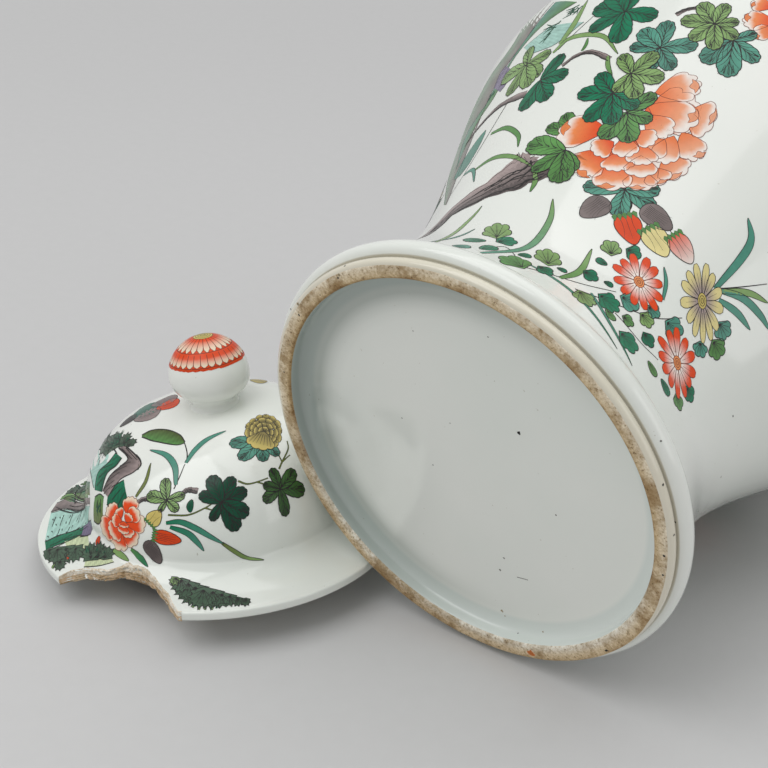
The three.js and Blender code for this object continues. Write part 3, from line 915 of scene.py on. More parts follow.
class Spot:
    """A place on a skin with two directions that touch it there. Flat points are counted in them."""

    def __init__(self, skin, centre, across, along, out):
        self.skin, self.centre = skin, np.asarray(centre, float)
        self.across, self.along, self.out = across, along, out

    @classmethod
    def facing(cls, skin, centre, target):
        """A spot with directions of one millimetre, the second one towards a target."""
        centres, normals = skin.on([centre])
        out = normals[0]
        along = np.asarray(target, float) - centres[0]
        along -= out * np.dot(along, out)
        along /= np.linalg.norm(along)
        return cls(skin, centres[0], np.cross(along, out), along, out)

    def points(self, flats):
        flats = np.asarray(flats, float)
        return self.centre + flats[:, 0:1] * self.across + flats[:, 1:2] * self.along

    def flat(self, point):
        """The flat coordinates of a point near the spot."""
        axes = np.stack([self.across, self.along], 1)
        return np.linalg.lstsq(axes, np.asarray(point, float) - self.centre, rcond=None)[0]

    def scaled(self, width, length):
        return Spot(self.skin, self.centre, self.across * width, self.along * length, self.out)

    def moved(self, flat, turn=0.0, size=1.0):
        """The spot moved to a flat point, turned anticlockwise by radians and made larger."""
        across = (math.cos(turn) * self.across + math.sin(turn) * self.along) * size
        along = (math.cos(turn) * self.along - math.sin(turn) * self.across) * size
        return Spot(self.skin, self.points([flat])[0], across, along, self.out)


class Brush:
    """Paints on one skin, and then makes one piece for each kind of colour."""

    def __init__(self, skin, prefix, seed):
        self.skin, self.prefix, self.kinds = skin, prefix, {}
        self.random = np.random.default_rng(seed)

    def seen(self, pixels):
        return np.array([self.skin.seen(pixel) for pixel in pixels])

    def add(self, kind, points, faces, colours, lifts):
        """Points on the true skin, with how far each is lifted off it."""
        nothing = {"points": [], "faces": [], "colours": [], "lifts": [], "count": 0}
        part = self.kinds.setdefault(kind, nothing)
        start = part["count"]
        part["faces"] += [tuple(start + corner for corner in face) for face in faces]
        for name, values in (("points", points), ("colours", colours), ("lifts", lifts)):
            part[name].append(values)
        part["count"] += len(points)

    def patch(self, kind, spot, outline, tone, level, middle=(0, 0), rings=PATCH_RINGS):
        """A filled patch: rings from a middle point to an outline, coloured by tone(flat points, shares)."""
        outline, middle = np.asarray(outline, float), np.asarray(middle, float)
        count = len(outline)
        flats = np.concatenate([middle[None]] + [middle + (outline - middle) * ring for ring in rings])
        shares = np.concatenate([[0], np.repeat(rings, count)])
        faces = [(0, 1 + i, 1 + (i + 1) % count) for i in range(count)]
        faces += grid_faces(len(rings), count, wrap_columns=True, first=1)
        ahead = np.roll(outline, -1, 0)
        turning = (outline[:, 0] * ahead[:, 1] - outline[:, 1] * ahead[:, 0]).sum()
        if np.dot(np.cross(spot.across, spot.along), spot.out) * turning < 0:
            faces = [face[::-1] for face in faces]
        lifts = LIFT + LEVEL * level - (shares > 0.99) * LIFT * THIN_EDGE
        self.add(kind, spot.points(flats), faces, tone(flats, shares), lifts)

    def stroke(self, kind, path, widths, colours, level, closed=False):
        """A stroke along points near the skin, a little raised along its middle."""
        on, normals = self.skin.on(path)
        side = self.sideways(on, normals, closed) * (np.broadcast_to(widths, len(on)) / 2)[:, None]
        count = len(on)
        points = np.concatenate([on - side, on, on + side])
        tints = np.tile(np.broadcast_to(colours, (count, 3)), (3, 1))
        lifts = np.repeat([LIFT * 0.9, LIFT * 1.1, LIFT * 0.9], count) + LEVEL * level
        self.add(kind, points, grid_faces(3, count, wrap_columns=closed), tints, lifts)

    def sideways(self, on, normals, closed=False):
        """Unit directions on the skin, at right angles to a path."""
        ahead, behind = np.roll(on, -1, 0), np.roll(on, 1, 0)
        if not closed:
            ahead[-1], behind[0] = on[-1], on[0]
        side = np.cross(ahead - behind, normals)
        return side / np.maximum(np.linalg.norm(side, axis=1), 1e-9)[:, None]

    def band(self, kind, upper, lower, tone, level):
        """A strip between two runs of points near the skin, coloured by tone(along, aside) in shares."""
        first, second = (resampled(smooth_through(run, 8), BAND_COLUMNS) for run in (upper, lower))
        down = np.linspace(0, 1, BAND_ROWS)
        points = first * (1 - down[:, None, None]) + second * down[:, None, None]
        faces = turned_over(grid_faces(BAND_ROWS, BAND_COLUMNS))
        middle = BAND_COLUMNS // 2
        normal = self.skin.on([first[middle]])[1][0]
        turning = np.cross(first[middle + 1] - first[middle], second[middle] - first[middle])
        if np.dot(turning, normal) < 0:
            faces = [face[::-1] for face in faces]
        along, aside = np.meshgrid(np.linspace(0, 1, BAND_COLUMNS), down)
        lifts = LIFT + LEVEL * level - THIN_EDGE * LIFT * ((aside == 0) | (aside == 1))
        self.add(kind, points.reshape(-1, 3), faces, tone(along.ravel(), aside.ravel()), lifts.ravel())

    def rim(self, spot, outline, level, width, colour=INK):
        """A fine line round a patch."""
        self.stroke("ink", spot.points(outline), width, colour, level, closed=True)

    def line(self, spot, start, end, level, width, bow=0.0, colour=INK, steps=5):
        """A fine line between two flat points, which thins towards its end."""
        start, end = np.asarray(start, float), np.asarray(end, float)
        t = np.linspace(0, 1, steps)[:, None]
        aside = np.array([start[1] - end[1], end[0] - start[0]])
        path = start + (end - start) * t + aside * bow * 4 * t * (1 - t)
        self.stroke("ink", spot.points(path), width * (1 - 0.6 * t[:, 0]), colour, level)

    def finish(self, materials):
        for kind, part in self.kinds.items():
            on, normals = self.skin.on(np.concatenate(part["points"]))
            points = self.skin.bent(on + normals * np.concatenate(part["lifts"])[:, None])
            colours = np.clip(np.concatenate(part["colours"]), 0, 1)
            name, slot = f"{self.prefix}_{kind}", "glazed_porcelain"
            mesh_piece(name, points, part["faces"], materials[kind], self.skin.body, colours)


def pooled_tone(colour, shade=0.25):
    """One enamel, a little darker towards the middle where it pooled."""
    def tone(flats, shares):
        return colour * (1 - shade * (1 - shares[:, None]))
    return tone


def streaked_tone(first, second):
    """From one enamel to another across a strip, in streaks along it."""
    def tone(along, aside):
        streaks = 1 + 0.12 * np.sin(aside * 9 + along * 31) + 0.08 * np.sin(along * 83)
        return mixed(first, second, aside) * streaks[:, None]
    return tone


# Leaves, blades and branches

def lobe_outline(width, steps=22, teeth=0):
    """An egg from (0, 0) to (0, 1), widest past its middle, with or without teeth on its far half."""
    turn = np.linspace(0, 2 * math.pi, steps, endpoint=False)
    across = width * np.sin(turn) * (0.9 - 0.3 * np.cos(turn))
    outline = np.stack([across, 0.5 - 0.5 * np.cos(turn)], 1)
    if teeth:
        far = np.clip((outline[:, 1] - 0.35) / 0.25, 0, 1)
        bumps = np.abs(np.sin(teeth * turn / 2)) ** 0.6 - 0.6
        outline = (0, 0.55) + (outline - (0, 0.55)) * (1 + 0.07 * far * bumps)[:, None]
    return outline


def lobe_tone(tint):
    """Darker along the vein and towards the tip."""
    def tone(flats, shares):
        vein = 1 - np.clip(np.abs(flats[:, 0]) * 8, 0, 1)
        tip = np.clip((flats[:, 1] - 0.5) / 0.5, 0, 1)
        shade = 1.12 - 0.2 * vein - 0.42 * tip * (1 - 0.45 * shares)
        return tint * shade[:, None]
    return tone


def leaf_lobe(brush, spot, width, tint, level, fine):
    """One lobe of a leaf, with its veins and, where it isn't fine, teeth and dry dark strokes at its tip."""
    if fine:
        outline, rim, midrib, vein, heights, strokes = lobe_outline(width), 0.34, 0.34, 0.24, (0.3, 0.55), 0
    else:
        outline, rim, midrib, vein = lobe_outline(width, 44, 11), 0.5, 0.6, 0.42
        heights, strokes = (0.06, 0.22, 0.4, 0.58), 8
    brush.patch("green", spot, outline, lobe_tone(tint), level, middle=(0, 0.55))
    brush.rim(spot, outline, level + 0.5, rim)
    brush.line(spot, (0, 0.02), (0, 0.93), level + 0.5, midrib, brush.random.uniform(-0.03, 0.03))
    for height in heights:
        for side in (-1, 1):
            end = (side * width * (0.92 - 0.5 * max(height - 0.22, 0)), height + 0.36)
            brush.line(spot, (0, height), end, level + 0.5, vein, side * 0.1, steps=4)
    for _ in range(strokes):
        across = brush.random.uniform(-0.62, 0.62) * width
        top = 0.97 - 0.5 * abs(across) ** 1.5 / width
        foot = (across * 0.7, top - brush.random.uniform(0.1, 0.28))
        brush.line(spot, (across, top), foot, level + 0.5, vein, steps=4)


def palm_leaf(brush, spot, tips, colour, level, fullness, fine=False):
    """Rounded lobes that all start from one point, which carries a dot of ink. Tips are flat points."""
    for k, tip in enumerate(tips):
        length = math.hypot(*tip)
        own = spot.moved((0, 0), math.atan2(tip[1], tip[0]) - math.pi / 2, length)
        tint = colour * brush.random.uniform(0.88, 1.12)
        leaf_lobe(brush, own, fullness * brush.random.uniform(0.92, 1.08), tint, level + 0.5 * (k % 3), fine)
    dot = (lobe_outline(0.6, 10) * 1.6 - (0, 0.8)) / np.linalg.norm(spot.along)
    brush.patch("ink", spot, dot, pooled_tone(INK), level + 1.8, rings=(1,))


def spread_tips(brush, count, length):
    """Lobe tips all round, one gap left for the stalk, each a little uneven."""
    tips = []
    for k in range(count):
        turn = 2 * math.pi * (k + 0.5 + brush.random.uniform(-0.12, 0.12)) / (count + 0.6)
        reach = length * brush.random.uniform(0.85, 1.12)
        tips.append((reach * math.sin(turn), -reach * math.cos(turn)))
    return tips


def leaflet(brush, spot, colour, level, scallops, spiky=False):
    """A small leaf from (0, 0) to (0, 1), plain or with a scalloped or spiky far edge."""
    tint = colour * brush.random.uniform(1.0, 1.25)
    if scallops:
        s = np.linspace(-1, 1, 6 * scallops + 1)
        swing = np.abs(np.sin(math.pi * scallops * (s + 1) / 2)) ** 0.7
        bumps = 0.2 * (1 - swing) if spiky else 0.13 * swing
        reach = (0.5 + bumps) * (1.06 - 0.1 * s ** 2)
        fan = np.stack([reach * np.sin(s * 2.1), 0.45 + reach * np.cos(s * 2.1) * 0.9], 1)
        outline = np.concatenate([fan, [[0, 0]]])
        ends = [(0.5 * math.sin(k * 0.6), 0.45 + 0.5 * math.cos(k * 0.6)) for k in range(-3, 4)]
    else:
        outline = lobe_outline(0.4, 16)
        ends = [(0, 0.88), (-0.25, 0.66), (0.25, 0.66)]
    brush.patch("green", spot, outline, pooled_tone(tint, 0.3), level, middle=(0, 0.5), rings=SMALL_RINGS)
    brush.rim(spot, outline, level + 0.5, 0.48)
    for end in ends:
        brush.line(spot, (0, 0.12), end, level + 0.5, 0.46, steps=4)


def blade(brush, path, width, colour, tip_colour, level):
    """A grass blade along points near the skin: a tapered wash between two fine lines."""
    knots = smooth_through(brush.skin.on(path)[0], 7)
    t = np.linspace(0, 1, len(knots))
    full = width * np.sin(math.pi * np.clip(0.12 + 0.88 * t, 0, 1)) ** 0.7 + 0.25
    brush.stroke("green", knots, full, mixed(colour, tip_colour, t), level)
    on, normals = brush.skin.on(knots)
    side = brush.sideways(on, normals)
    for turn, fine in ((-1, 0.36), (1, 0.26)):
        brush.stroke("ink", on + side * (turn * full / 2)[:, None], fine, INK, level + 0.5)


def stalk(brush, path, width, level, colour=INK, kind="ink"):
    """A plain stalk along points near the skin."""
    knots = smooth_through(brush.skin.on(path)[0], 6)
    t = np.linspace(0, 1, len(knots))
    brush.stroke(kind, knots, width * (1 - 0.4 * t), colour, level)


def branch(brush, path, start_width, end_width, level):
    """An old branch: pale on one side, dark on the other, with long streaks and a rough edge."""
    knots = smooth_through(brush.skin.on(path)[0], 10)
    t = np.linspace(0, 1, len(knots))
    uneven = 1 + 0.09 * np.sin(t * 23) + 0.06 * np.sin(t * 51)
    width = (start_width + (end_width - start_width) * t) * uneven
    on, normals = brush.skin.on(knots)
    side = brush.sideways(on, normals)
    for k in range(5):
        middle = (k - 2) / 5
        tint = mixed(AUBERGINE * 2.3, AUBERGINE * 0.6, k / 4 + brush.random.uniform(-0.1, 0.1))
        brush.stroke("green", on + side * (middle * width)[:, None], width * 0.34, tint, level + 0.15 * k)
    streak_width = min(end_width * 0.07, 0.9)
    for k in range(20):
        offset = brush.random.uniform(-0.3, 0.5)
        low, high = sorted(brush.random.uniform(0, 1, 2))
        chosen = (t >= low) & (t <= high)
        if chosen.sum() > 3:
            waver = offset + 0.04 * np.sin(t[chosen] * 45 + k)
            path = on[chosen] + side[chosen] * (waver * width[chosen])[:, None]
            brush.stroke("ink", path, streak_width * brush.random.uniform(0.5, 1.3), INK, level + 1.4)
    for turn, fine in ((-1, 0.3), (1, 0.6)):
        rough = turn * 0.5 + brush.random.normal(size=len(t)) * 0.025
        brush.stroke("ink", on + side * (rough * width)[:, None], fine, INK, level + 1.5)


# Flowers

def petal_outline(brush, width, ruffles):
    """A petal from (0, 0) outwards to about (0, 1), with a ruffled far edge."""
    s = np.linspace(-1, 1, 29)
    phase = brush.random.uniform(0, 0.5)
    ruffle = 0.1 * np.abs(np.sin(math.pi * ruffles * (s + 1) / 2 + phase)) ** 0.55
    x = width * np.sin(s * 1.25) / math.sin(1.25) * (0.92 + ruffle)
    y = 0.4 + 0.5 * np.cos(s * 1.35) + ruffle
    side = np.linspace(0, 1, 5)[1:-1]
    right = np.stack([x[-1] * (1 - side) ** 0.7, y[-1] * (1 - side)], 1)
    left = np.stack([x[0] * side ** 0.7, y[0] * side], 1)
    return np.concatenate([np.stack([x, y], 1), right, [[0, 0]], left])


def petal_tone(deep, pale, white):
    """Deep at the petal's foot, then pale, and white along its far edge."""
    def tone(flats, shares):
        up = np.clip((flats[:, 1] - 0.15) / 0.6, 0, 1)
        wash = mixed(deep, pale, up)
        rim = np.clip((flats[:, 1] - 0.6) / 0.16, 0, 1) * np.clip((shares - 0.4) / 0.25, 0, 1)
        edge = np.maximum(rim, (shares > 0.9) * (flats[:, 1] > 0.45))
        return wash * (1 - edge[:, None]) + white * edge[:, None]
    return tone


def petal(brush, spot, width, deep, pale, white, level, lip, ink=RED_INK):
    """A ruffled petal, sometimes with a lip that is folded over at its edge."""
    outline = petal_outline(brush, width, brush.random.integers(3, 6))
    brush.patch("red", spot, outline, petal_tone(deep, pale, white), level, middle=(0, 0.5))
    brush.rim(spot, outline, level + 0.5, 0.3, ink)
    if lip:
        s = np.linspace(-1, 1, 9)
        top = np.stack([0.42 * s, 0.1 - 0.12 * s ** 2], 1)
        under = np.stack([0.42 * s[::-1], -0.06 - 0.05 * np.cos(s * 5)], 1)[1:-1]
        place = (brush.random.uniform(-0.4, 0.4) * width, 0.84)
        fold = np.concatenate([top, under]) * (width * 1.1, 1) + place
        tone = pooled_tone(mixed(pale, deep, 0.25), 0.1)
        brush.patch("red", spot, fold, tone, level + 0.4, fold.mean(0), SMALL_RINGS)
        brush.rim(spot, fold, level + 0.8, 0.26, ink)


def peony(brush, spot, heart, colours, level, rings, ink=RED_INK):
    """A full flower of one unit's radius: rings of ruffled petals, the outer ones first, that close in on a
    heart. A ring is its radius, how many petals it has, and their length and half width. The colours are
    deep, pale and white."""
    heart = np.asarray(heart, float)
    for step, (radius, count, length, width) in enumerate(rings):
        first = brush.random.uniform(0, 2 * math.pi)
        for n in brush.random.permutation(count):
            turn = first + 2 * math.pi * (n + brush.random.uniform(-0.15, 0.15)) / count
            outwards = np.array([math.sin(turn), math.cos(turn)])
            foot = heart * (1 - radius) + outwards * max(radius - length, 0)
            own = spot.moved(foot, -turn, length * brush.random.uniform(0.92, 1.1))
            petal(brush, own, width, *colours, level + step + 0.04 * n, n % 3 == 0, ink)


def bud(brush, spot, width, colour, tip_colour, level, calyx, veins):
    """A pointed bud from (0, 0) to (0, 1), with fine dark lines and, if it has one, a toothed calyx."""
    outline = lobe_outline(width) * (1, -1) + (0, 1)

    def tone(flats, shares):
        return mixed(colour, tip_colour, flats[:, 1]) * (0.85 + 0.15 * shares[:, None])

    brush.patch("red" if calyx else "green", spot, outline, tone, level, middle=(0, 0.5))
    brush.rim(spot, outline, level + 0.5, 0.42)
    for k in range(veins):
        lean = (k - (veins - 1) / 2) / veins * width * 2
        brush.line(spot, (lean * 0.6, 0.12), (lean * 0.9, 0.8), level + 0.5, 0.26, lean * 0.3)
    if calyx:
        for k in range(5):
            lean, half = (k - 2) * 0.34 * width, 0.2 * width
            spike = np.array([(lean - half, 0.02), (lean * 1.15, 0.2), (lean + half, 0.02), (lean, -0.05)])
            brush.patch("green", spot, spike, pooled_tone(MID_GREEN), level + 0.9, (lean, 0.04), SMALL_RINGS)
            brush.rim(spot, spike, level + 1.2, 0.2)


def daisy(brush, spot, count, inner, outer, eye, ink, level):
    """An open flower of narrow petals round a coiled eye. Its radius is the spot's unit."""
    def tone(flats, shares):
        return mixed(inner, outer, (flats[:, 1] - 0.3) / 0.42)

    t = np.linspace(0, 1, 9)
    for n in range(count):
        own = spot.moved((0, 0), 2 * math.pi * (n + brush.random.uniform(-0.12, 0.12)) / count)
        size = brush.random.uniform(0.9, 1.05)
        half = (2.45 / count) * np.sin(math.pi * (0.07 + 0.91 * t)) ** 0.4 * (0.42 + 0.6 * t)
        up = 0.2 + (size - 0.2) * t
        outline = np.concatenate([np.stack([half, up], 1), np.stack([-half, up], 1)[::-1]])
        level_here = level + 0.3 * (n % 2)
        brush.patch("red", own, outline, tone, level_here, (0, 0.2 + 0.5 * size), SMALL_RINGS)
        brush.rim(own, outline, level_here + 0.4, 0.32, ink)
        brush.line(own, (0, 0.3), (0, size * 0.75), level_here + 0.4, 0.24, 0, ink)
    around = even_angles(20)
    ring = np.stack([np.cos(around), np.sin(around)], 1)
    brush.patch("red", spot, ring * 0.2, pooled_tone(eye), level + 1, rings=SMALL_RINGS)
    for size in (0.2, 0.13, 0.06):
        brush.rim(spot, ring * size, level + 1.4, 0.3, ink)


# The jar's painting that the photograph shows, placed by its pixels

# How much each petal lies above the one before it, and how many of a flower's petals have a folded lip
PETAL_STEP, LIPPED_PETALS = 0.22, 12

# Palm leaves: the middle, the tips of the lobes, the colour and the level
JAR_LEAVES_PX = [
    ((625, 12), [(595, 8), (638, -8), (612, -10), (657, 17), (589, 31), (618, 43)], DEEP_GREEN, 3),
    ((660, 48), [(650, 70), (630, 47), (641, 30), (668, 21), (698, 45), (672, 70)], TEAL, 3),
    ((733, 40), [(706, 40), (702, 62), (757, 34), (758, 62), (727, 77)], TEAL, 3),
    ((715, 24), [(681, 20), (690, 40), (714, 50), (737, 39), (739, 22), (727, 4), (701, 3)], APPLE, 5),
    ((627, 113), [(656, 94), (652, 121), (601, 139), (629, 143)], MID_GREEN, 8),
    ((613, 94), [(586, 122), (611, 125), (638, 108), (578, 94), (599, 74)], DEEP_GREEN, 9.5),
    ((631, 74), [(615, 93), (636, 99), (622, 55), (664, 79), (658, 53)], APPLE, 11),
    ((541, 80), [(522, 111), (547, 100), (568, 74), (564, 54)], DEEP_GREEN, 3),
    ((527, 65), [(508, 96), (502, 81), (529, 86), (539, 76), (530, 48), (551, 53)], APPLE, 4.5),
    ((567, 134), [(548, 126), (567, 113), (557, 150)], MID_GREEN, 1),
    ((565, 151), [(532, 172), (574, 172), (559, 183), (528, 144)], MID_GREEN, 9),
    ((625, 190), [(583, 186), (606, 179), (660, 190), (655, 209), (617, 217)], TEAL, 2),
]

# Buds: the foot, the tip, the half width as a share, the colours, whether it has a calyx, and its lines
JAR_BUDS_PX = [
    ((607, 199), (581, 217), 0.42, AUBERGINE, AUBERGINE * 1.3, False, 7),
    ((642, 207), (672, 230), 0.36, AUBERGINE * 1.3, AUBERGINE, False, 8),
    ((624, 214), (635, 245), 0.42, IRON_RED, IRON_RED * 0.95, True, 3),
    ((647, 227), (667, 257), 0.4, STRAW * 0.9, STRAW, True, 3),
    ((672, 234), (692, 264), 0.36, IRON_RED, PETAL_WHITE * 0.95, True, 3),
]

# The peony's petals, outer ones first: the foot, the tip, the half width as a share, and how deep the red is
JAR_PEONY_PX = [
    ((640, 118), (702, 108), 0.5, 0.8), ((620, 140), (650, 178), 0.9, 0.8),
    ((655, 93), (702, 84), 0.42, 0.5), ((686, 114), (715, 124), 0.78, 0.35),
    ((682, 132), (698, 161), 0.46, 0.4), ((664, 158), (681, 178), 0.72, 0.45),
    ((652, 168), (662, 185), 0.74, 0.5), ((640, 170), (640, 191), 0.78, 0.5),
    ((614, 162), (611, 191), 0.64, 0.85), ((606, 150), (573, 174), 0.52, 1),
    ((606, 130), (556, 134), 0.44, 1), ((648, 106), (698, 126), 0.36, 0.55),
    ((674, 136), (660, 164), 0.44, 0.45), ((664, 138), (649, 158), 0.48, 0.45),
    ((646, 116), (670, 137), 0.48, 0.6), ((618, 152), (617, 172), 0.78, 0.8),
    ((641, 156), (640, 178), 0.72, 0.6), ((642, 145), (641, 166), 0.74, 0.6),
    ((614, 142), (592, 153), 0.62, 0.95), ((626, 137), (625, 158), 0.6, 0.8),
    ((634, 133), (656, 143), 0.5, 0.65),
]

# The second flower, at the edge of the picture
JAR_FLOWER_PX = [
    ((775, 22), (742, 20), 0.42, 1), ((778, 30), (752, 34), 0.4, 0.9), ((772, 8), (751, 2), 0.5, 1),
]

# Blades of grass: their points, the width, and the colours of foot and tip
JAR_BLADES_PX = [
    ([(481, 253), (526, 248), (549, 222), (553, 199)], 3.4, TEAL, APPLE),
    ([(560, 278), (580, 271), (592, 249)], 3.2, MID_GREEN, APPLE),
    ([(530, 265), (566, 287), (591, 311), (617, 349)], 1.9, TEAL, DEEP_GREEN),
    ([(591, 293), (609, 322), (632, 366)], 1.9, TEAL, DEEP_GREEN),
    ([(715, 289), (740, 260), (751, 240), (748, 218)], 4.2, TEAL, TEAL),
    ([(715, 289), (742, 298), (760, 315), (769, 330)], 3.8, TEAL, TEAL),
    ([(719, 291), (748, 293), (768, 303)], 3.2, APPLE, APPLE),
    ([(719, 300), (737, 313), (750, 330)], 3.6, TEAL, TEAL),
    ([(663, 300), (666, 283), (664, 267)], 1.8, TEAL, TEAL),
    ([(436, 242), (462, 227), (482, 206)], 2.2, APPLE, APPLE),
    ([(430, 242), (453, 238), (475, 229)], 1.5, TEAL, TEAL),
    ([(553, 53), (571, 38), (602, 36), (618, 54)], 3.2, APPLE, APPLE),
    ([(560, 44), (573, 26), (588, 0)], 4.4, APPLE, APPLE),
    ([(491, 134), (506, 128), (518, 135), (518, 147)], 3, MID_GREEN, MID_GREEN),
    ([(475, 170), (494, 158), (514, 157), (533, 167)], 3, MID_GREEN, APPLE),
    ([(464, 175), (473, 170), (474, 182)], 2.4, TEAL, TEAL),
    ([(608, 56), (608, 66), (612, 76)], 2.4, APPLE, MID_GREEN),
    ([(535, 172), (535, 182), (530, 192)], 2.8, APPLE, MID_GREEN),
    ([(457, 178), (466, 162), (486, 130)], 17, TEAL * 0.8, TEAL * 0.9),
    ([(582, 51), (586, 45), (588, 38)], 2, MID_GREEN, MID_GREEN),
]

# Daisies: the middle, the end of a petal, the end of one at right angles to it, and the count and colours
JAR_DAISIES_PX = [
    ((639, 282), (645, 311), (661, 275), 12, PETAL_WHITE, IRON_RED, PALE_RED, RED_INK),
    ((702, 301), (702, 342), (722, 296), 13, AUBERGINE * 2, STRAW * 0.85, YELLOW * 0.9, INK),
    ((677, 363), (678, 398), (694, 358), 12, PETAL_WHITE, IRON_RED, PALE_RED, RED_INK),
]

# Leaflets round the daisies: the foot, the tip, the colour and the scallops
JAR_LEAFLETS_PX = [
    ((497, 239), (497, 224), APPLE, 5), ((548, 266), (548, 250), APPLE, 5),
    ((611, 256), (611, 241), APPLE, 4), ((578, 290), (590, 306), APPLE, 5),
    ((524, 269), (506, 256), MID_GREEN, 4), ((640, 313), (652, 326), APPLE, 4),
    ((486, 241), (463, 240), DEEP_GREEN, 0), ((496, 242), (515, 240), DEEP_GREEN, 4),
    ((480, 249), (496, 247), DEEP_GREEN, 0), ((452, 246), (471, 247), TEAL, 0),
    ((518, 255), (531, 256), DEEP_GREEN, 0), ((538, 266), (551, 275), DEEP_GREEN, 3),
    ((557, 268), (567, 272), DEEP_GREEN, 0), ((583, 271), (597, 280), DEEP_GREEN, 3),
    ((607, 265), (596, 259), DEEP_GREEN, 0), ((626, 249), (640, 257), DEEP_GREEN, 3),
    ((604, 282), (613, 286), DEEP_GREEN, 0), ((598, 294), (618, 311), DEEP_GREEN, 5),
    ((620, 296), (638, 308), TEAL, 3), ((647, 306), (659, 316), TEAL, 3),
    ((619, 331), (636, 352), DEEP_GREEN, 4), ((643, 332), (652, 347), DEEP_GREEN, 3),
    ((648, 361), (656, 377), MID_GREEN, 0), ((665, 321), (681, 337), TEAL, 4),
    ((718, 322), (727, 338), TEAL, 4), ((700, 341), (700, 357), TEAL, 4),
    ((712, 340), (721, 357), MID_GREEN, 4), ((661, 379), (669, 396), DEEP_GREEN, 0),
    ((686, 386), (692, 401), DEEP_GREEN, 3), ((676, 393), (680, 410), MID_GREEN, 3),
    ((622, 316), (633, 325), MID_GREEN, 3), ((606, 309), (614, 321), MID_GREEN, 0),
]

# Stalks, and branches with their widths at both ends
JAR_STALKS_PX = [
    [(523, 267), (575, 282), (616, 292)], [(575, 289), (620, 306), (655, 318), (682, 318)],
    [(615, 313), (640, 342), (658, 360)], [(715, 289), (741, 287), (767, 284)],
    [(484, 249), (505, 247), (520, 262)], [(625, 190), (632, 204), (626, 216)], [(640, 202), (648, 228)],
    [(656, 206), (672, 234)], [(558, 50), (595, 15)], [(508, 102), (484, 142), (450, 196)],
]
JAR_BRANCHES_PX = [
    ([(421, 238), (449, 215), (493, 187), (527, 169), (538, 160)], 5, 34),
    ([(465, 146), (480, 126), (500, 106), (526, 94)], 1.6, 5),
    ([(562, 66), (576, 56), (592, 52), (610, 59)], 2.2, 3.2),
    ([(697, 8), (686, 10), (676, 15)], 1.8, 2.6),
]

# Strips along the left edge of the body: both edges, the colours of both edges, and the level
JAR_STRIPS_PX = [
    ([(548, 2), (514, 43), (487, 82), (468, 122), (451, 170), (444, 205)],
     [(554, 2), (524, 42), (498, 80), (479, 122), (459, 172), (446, 205)], MOSS * 1.3, AUBERGINE * 1.2,
     0),
    ([(556, 2), (524, 42), (499, 80), (484, 108), (465, 138), (456, 170)],
     [(577, 2), (540, 28), (512, 62), (495, 96), (478, 122), (464, 150)], TEAL * 0.9, MID_GREEN * 0.8,
     0.5),
    ([(552, 26), (538, 36), (524, 48)], [(584, 22), (556, 44), (532, 54)], TURQUOISE, TURQUOISE * 0.9,
     0.2),
    ([(506, 66), (500, 74), (494, 88)], [(512, 70), (506, 84), (500, 92)], VIOLET, VIOLET * 0.9, 1),
]

# Spiky sprigs near the left edge: the foot, the tip and how many needles
JAR_SPRIGS_PX = [((558, 26), (536, 40), 12), ((580, 6), (562, 22), 12), ((494, 92), (486, 104), 8)]


def paint_leaves(brush, leaves, fullness):
    for centre, tips, colour, level in leaves:
        places = brush.seen([centre] + tips)
        spot = Spot.facing(brush.skin, places[0], places[1])
        palm_leaf(brush, spot, [spot.flat(place) for place in places[1:]], colour, level, fullness)


def paint_branches(brush, branches, level):
    for pixels, start_width, end_width in branches:
        branch(brush, brush.seen(pixels), start_width, end_width, level)


def paint_blades(brush, blades, level):
    for pixels, width, colour, tip_colour in blades:
        blade(brush, brush.seen(pixels), width, colour, tip_colour, level)


def paint_sprigs(brush, sprigs, level):
    for foot, tip, count in sprigs:
        sprig(brush, long_spot(brush, foot, tip), count, level)


def paint_buds(brush, buds, level):
    for foot, tip, width, colour, tip_colour, calyx, veins in buds:
        bud(brush, long_spot(brush, foot, tip), width, colour, tip_colour, level, calyx, veins)


def long_spot(brush, foot, tip, narrowing=0.5, widest=1):
    """A spot whose unit along is the way from a foot pixel to a tip pixel. Where that way is seen at a
    slant, the unit across is made narrower."""
    places = brush.seen([foot, tip])
    reach = np.linalg.norm(places[1] - places[0])
    spot = Spot.facing(brush.skin, *places).scaled(reach, reach)
    ends = spot.points([(-0.5, 0.3), (0.5, 0.3), (0, 0), (0, 1)])
    left, right, low, high = (pixel_of(point) for point in ends)
    widening = np.linalg.norm(high - low) / np.linalg.norm(right - left)
    return spot.scaled(min(widening ** narrowing, widest), 1)


def round_spot(brush, centre, end, aside):
    """A spot at a pixel whose units reach the pixels of two ends at right angles."""
    places = brush.seen([centre, end, aside])
    length, width = (np.linalg.norm(place - places[0]) for place in places[1:])
    return Spot.facing(brush.skin, places[0], places[1]).scaled(width, length)


def paint_petals(brush, petals, level):
    """A flower petal by petal, the outer ones with folded lips."""
    for k, (foot, tip, width, deepness) in enumerate(petals):
        deep = mixed(PALE_RED, IRON_RED, deepness)
        pale = mixed(PETAL_WHITE, PALE_RED, 0.55 + 0.45 * deepness)
        spot = long_spot(brush, foot, tip)
        petal(brush, spot, width, deep, pale, PETAL_WHITE, level + PETAL_STEP * k, lip=k < LIPPED_PETALS)


def paint_red_petals(brush, petals, level):
    """A plain red flower petal by petal, each with a cream edge."""
    for k, (foot, tip, width, deepness) in enumerate(petals):
        deep = mixed(PALE_RED, IRON_RED, deepness)
        spot = long_spot(brush, foot, tip)
        petal(brush, spot, width, deep, IRON_RED * 1.1, CREAM_PETAL, level + PETAL_STEP * k, lip=False)


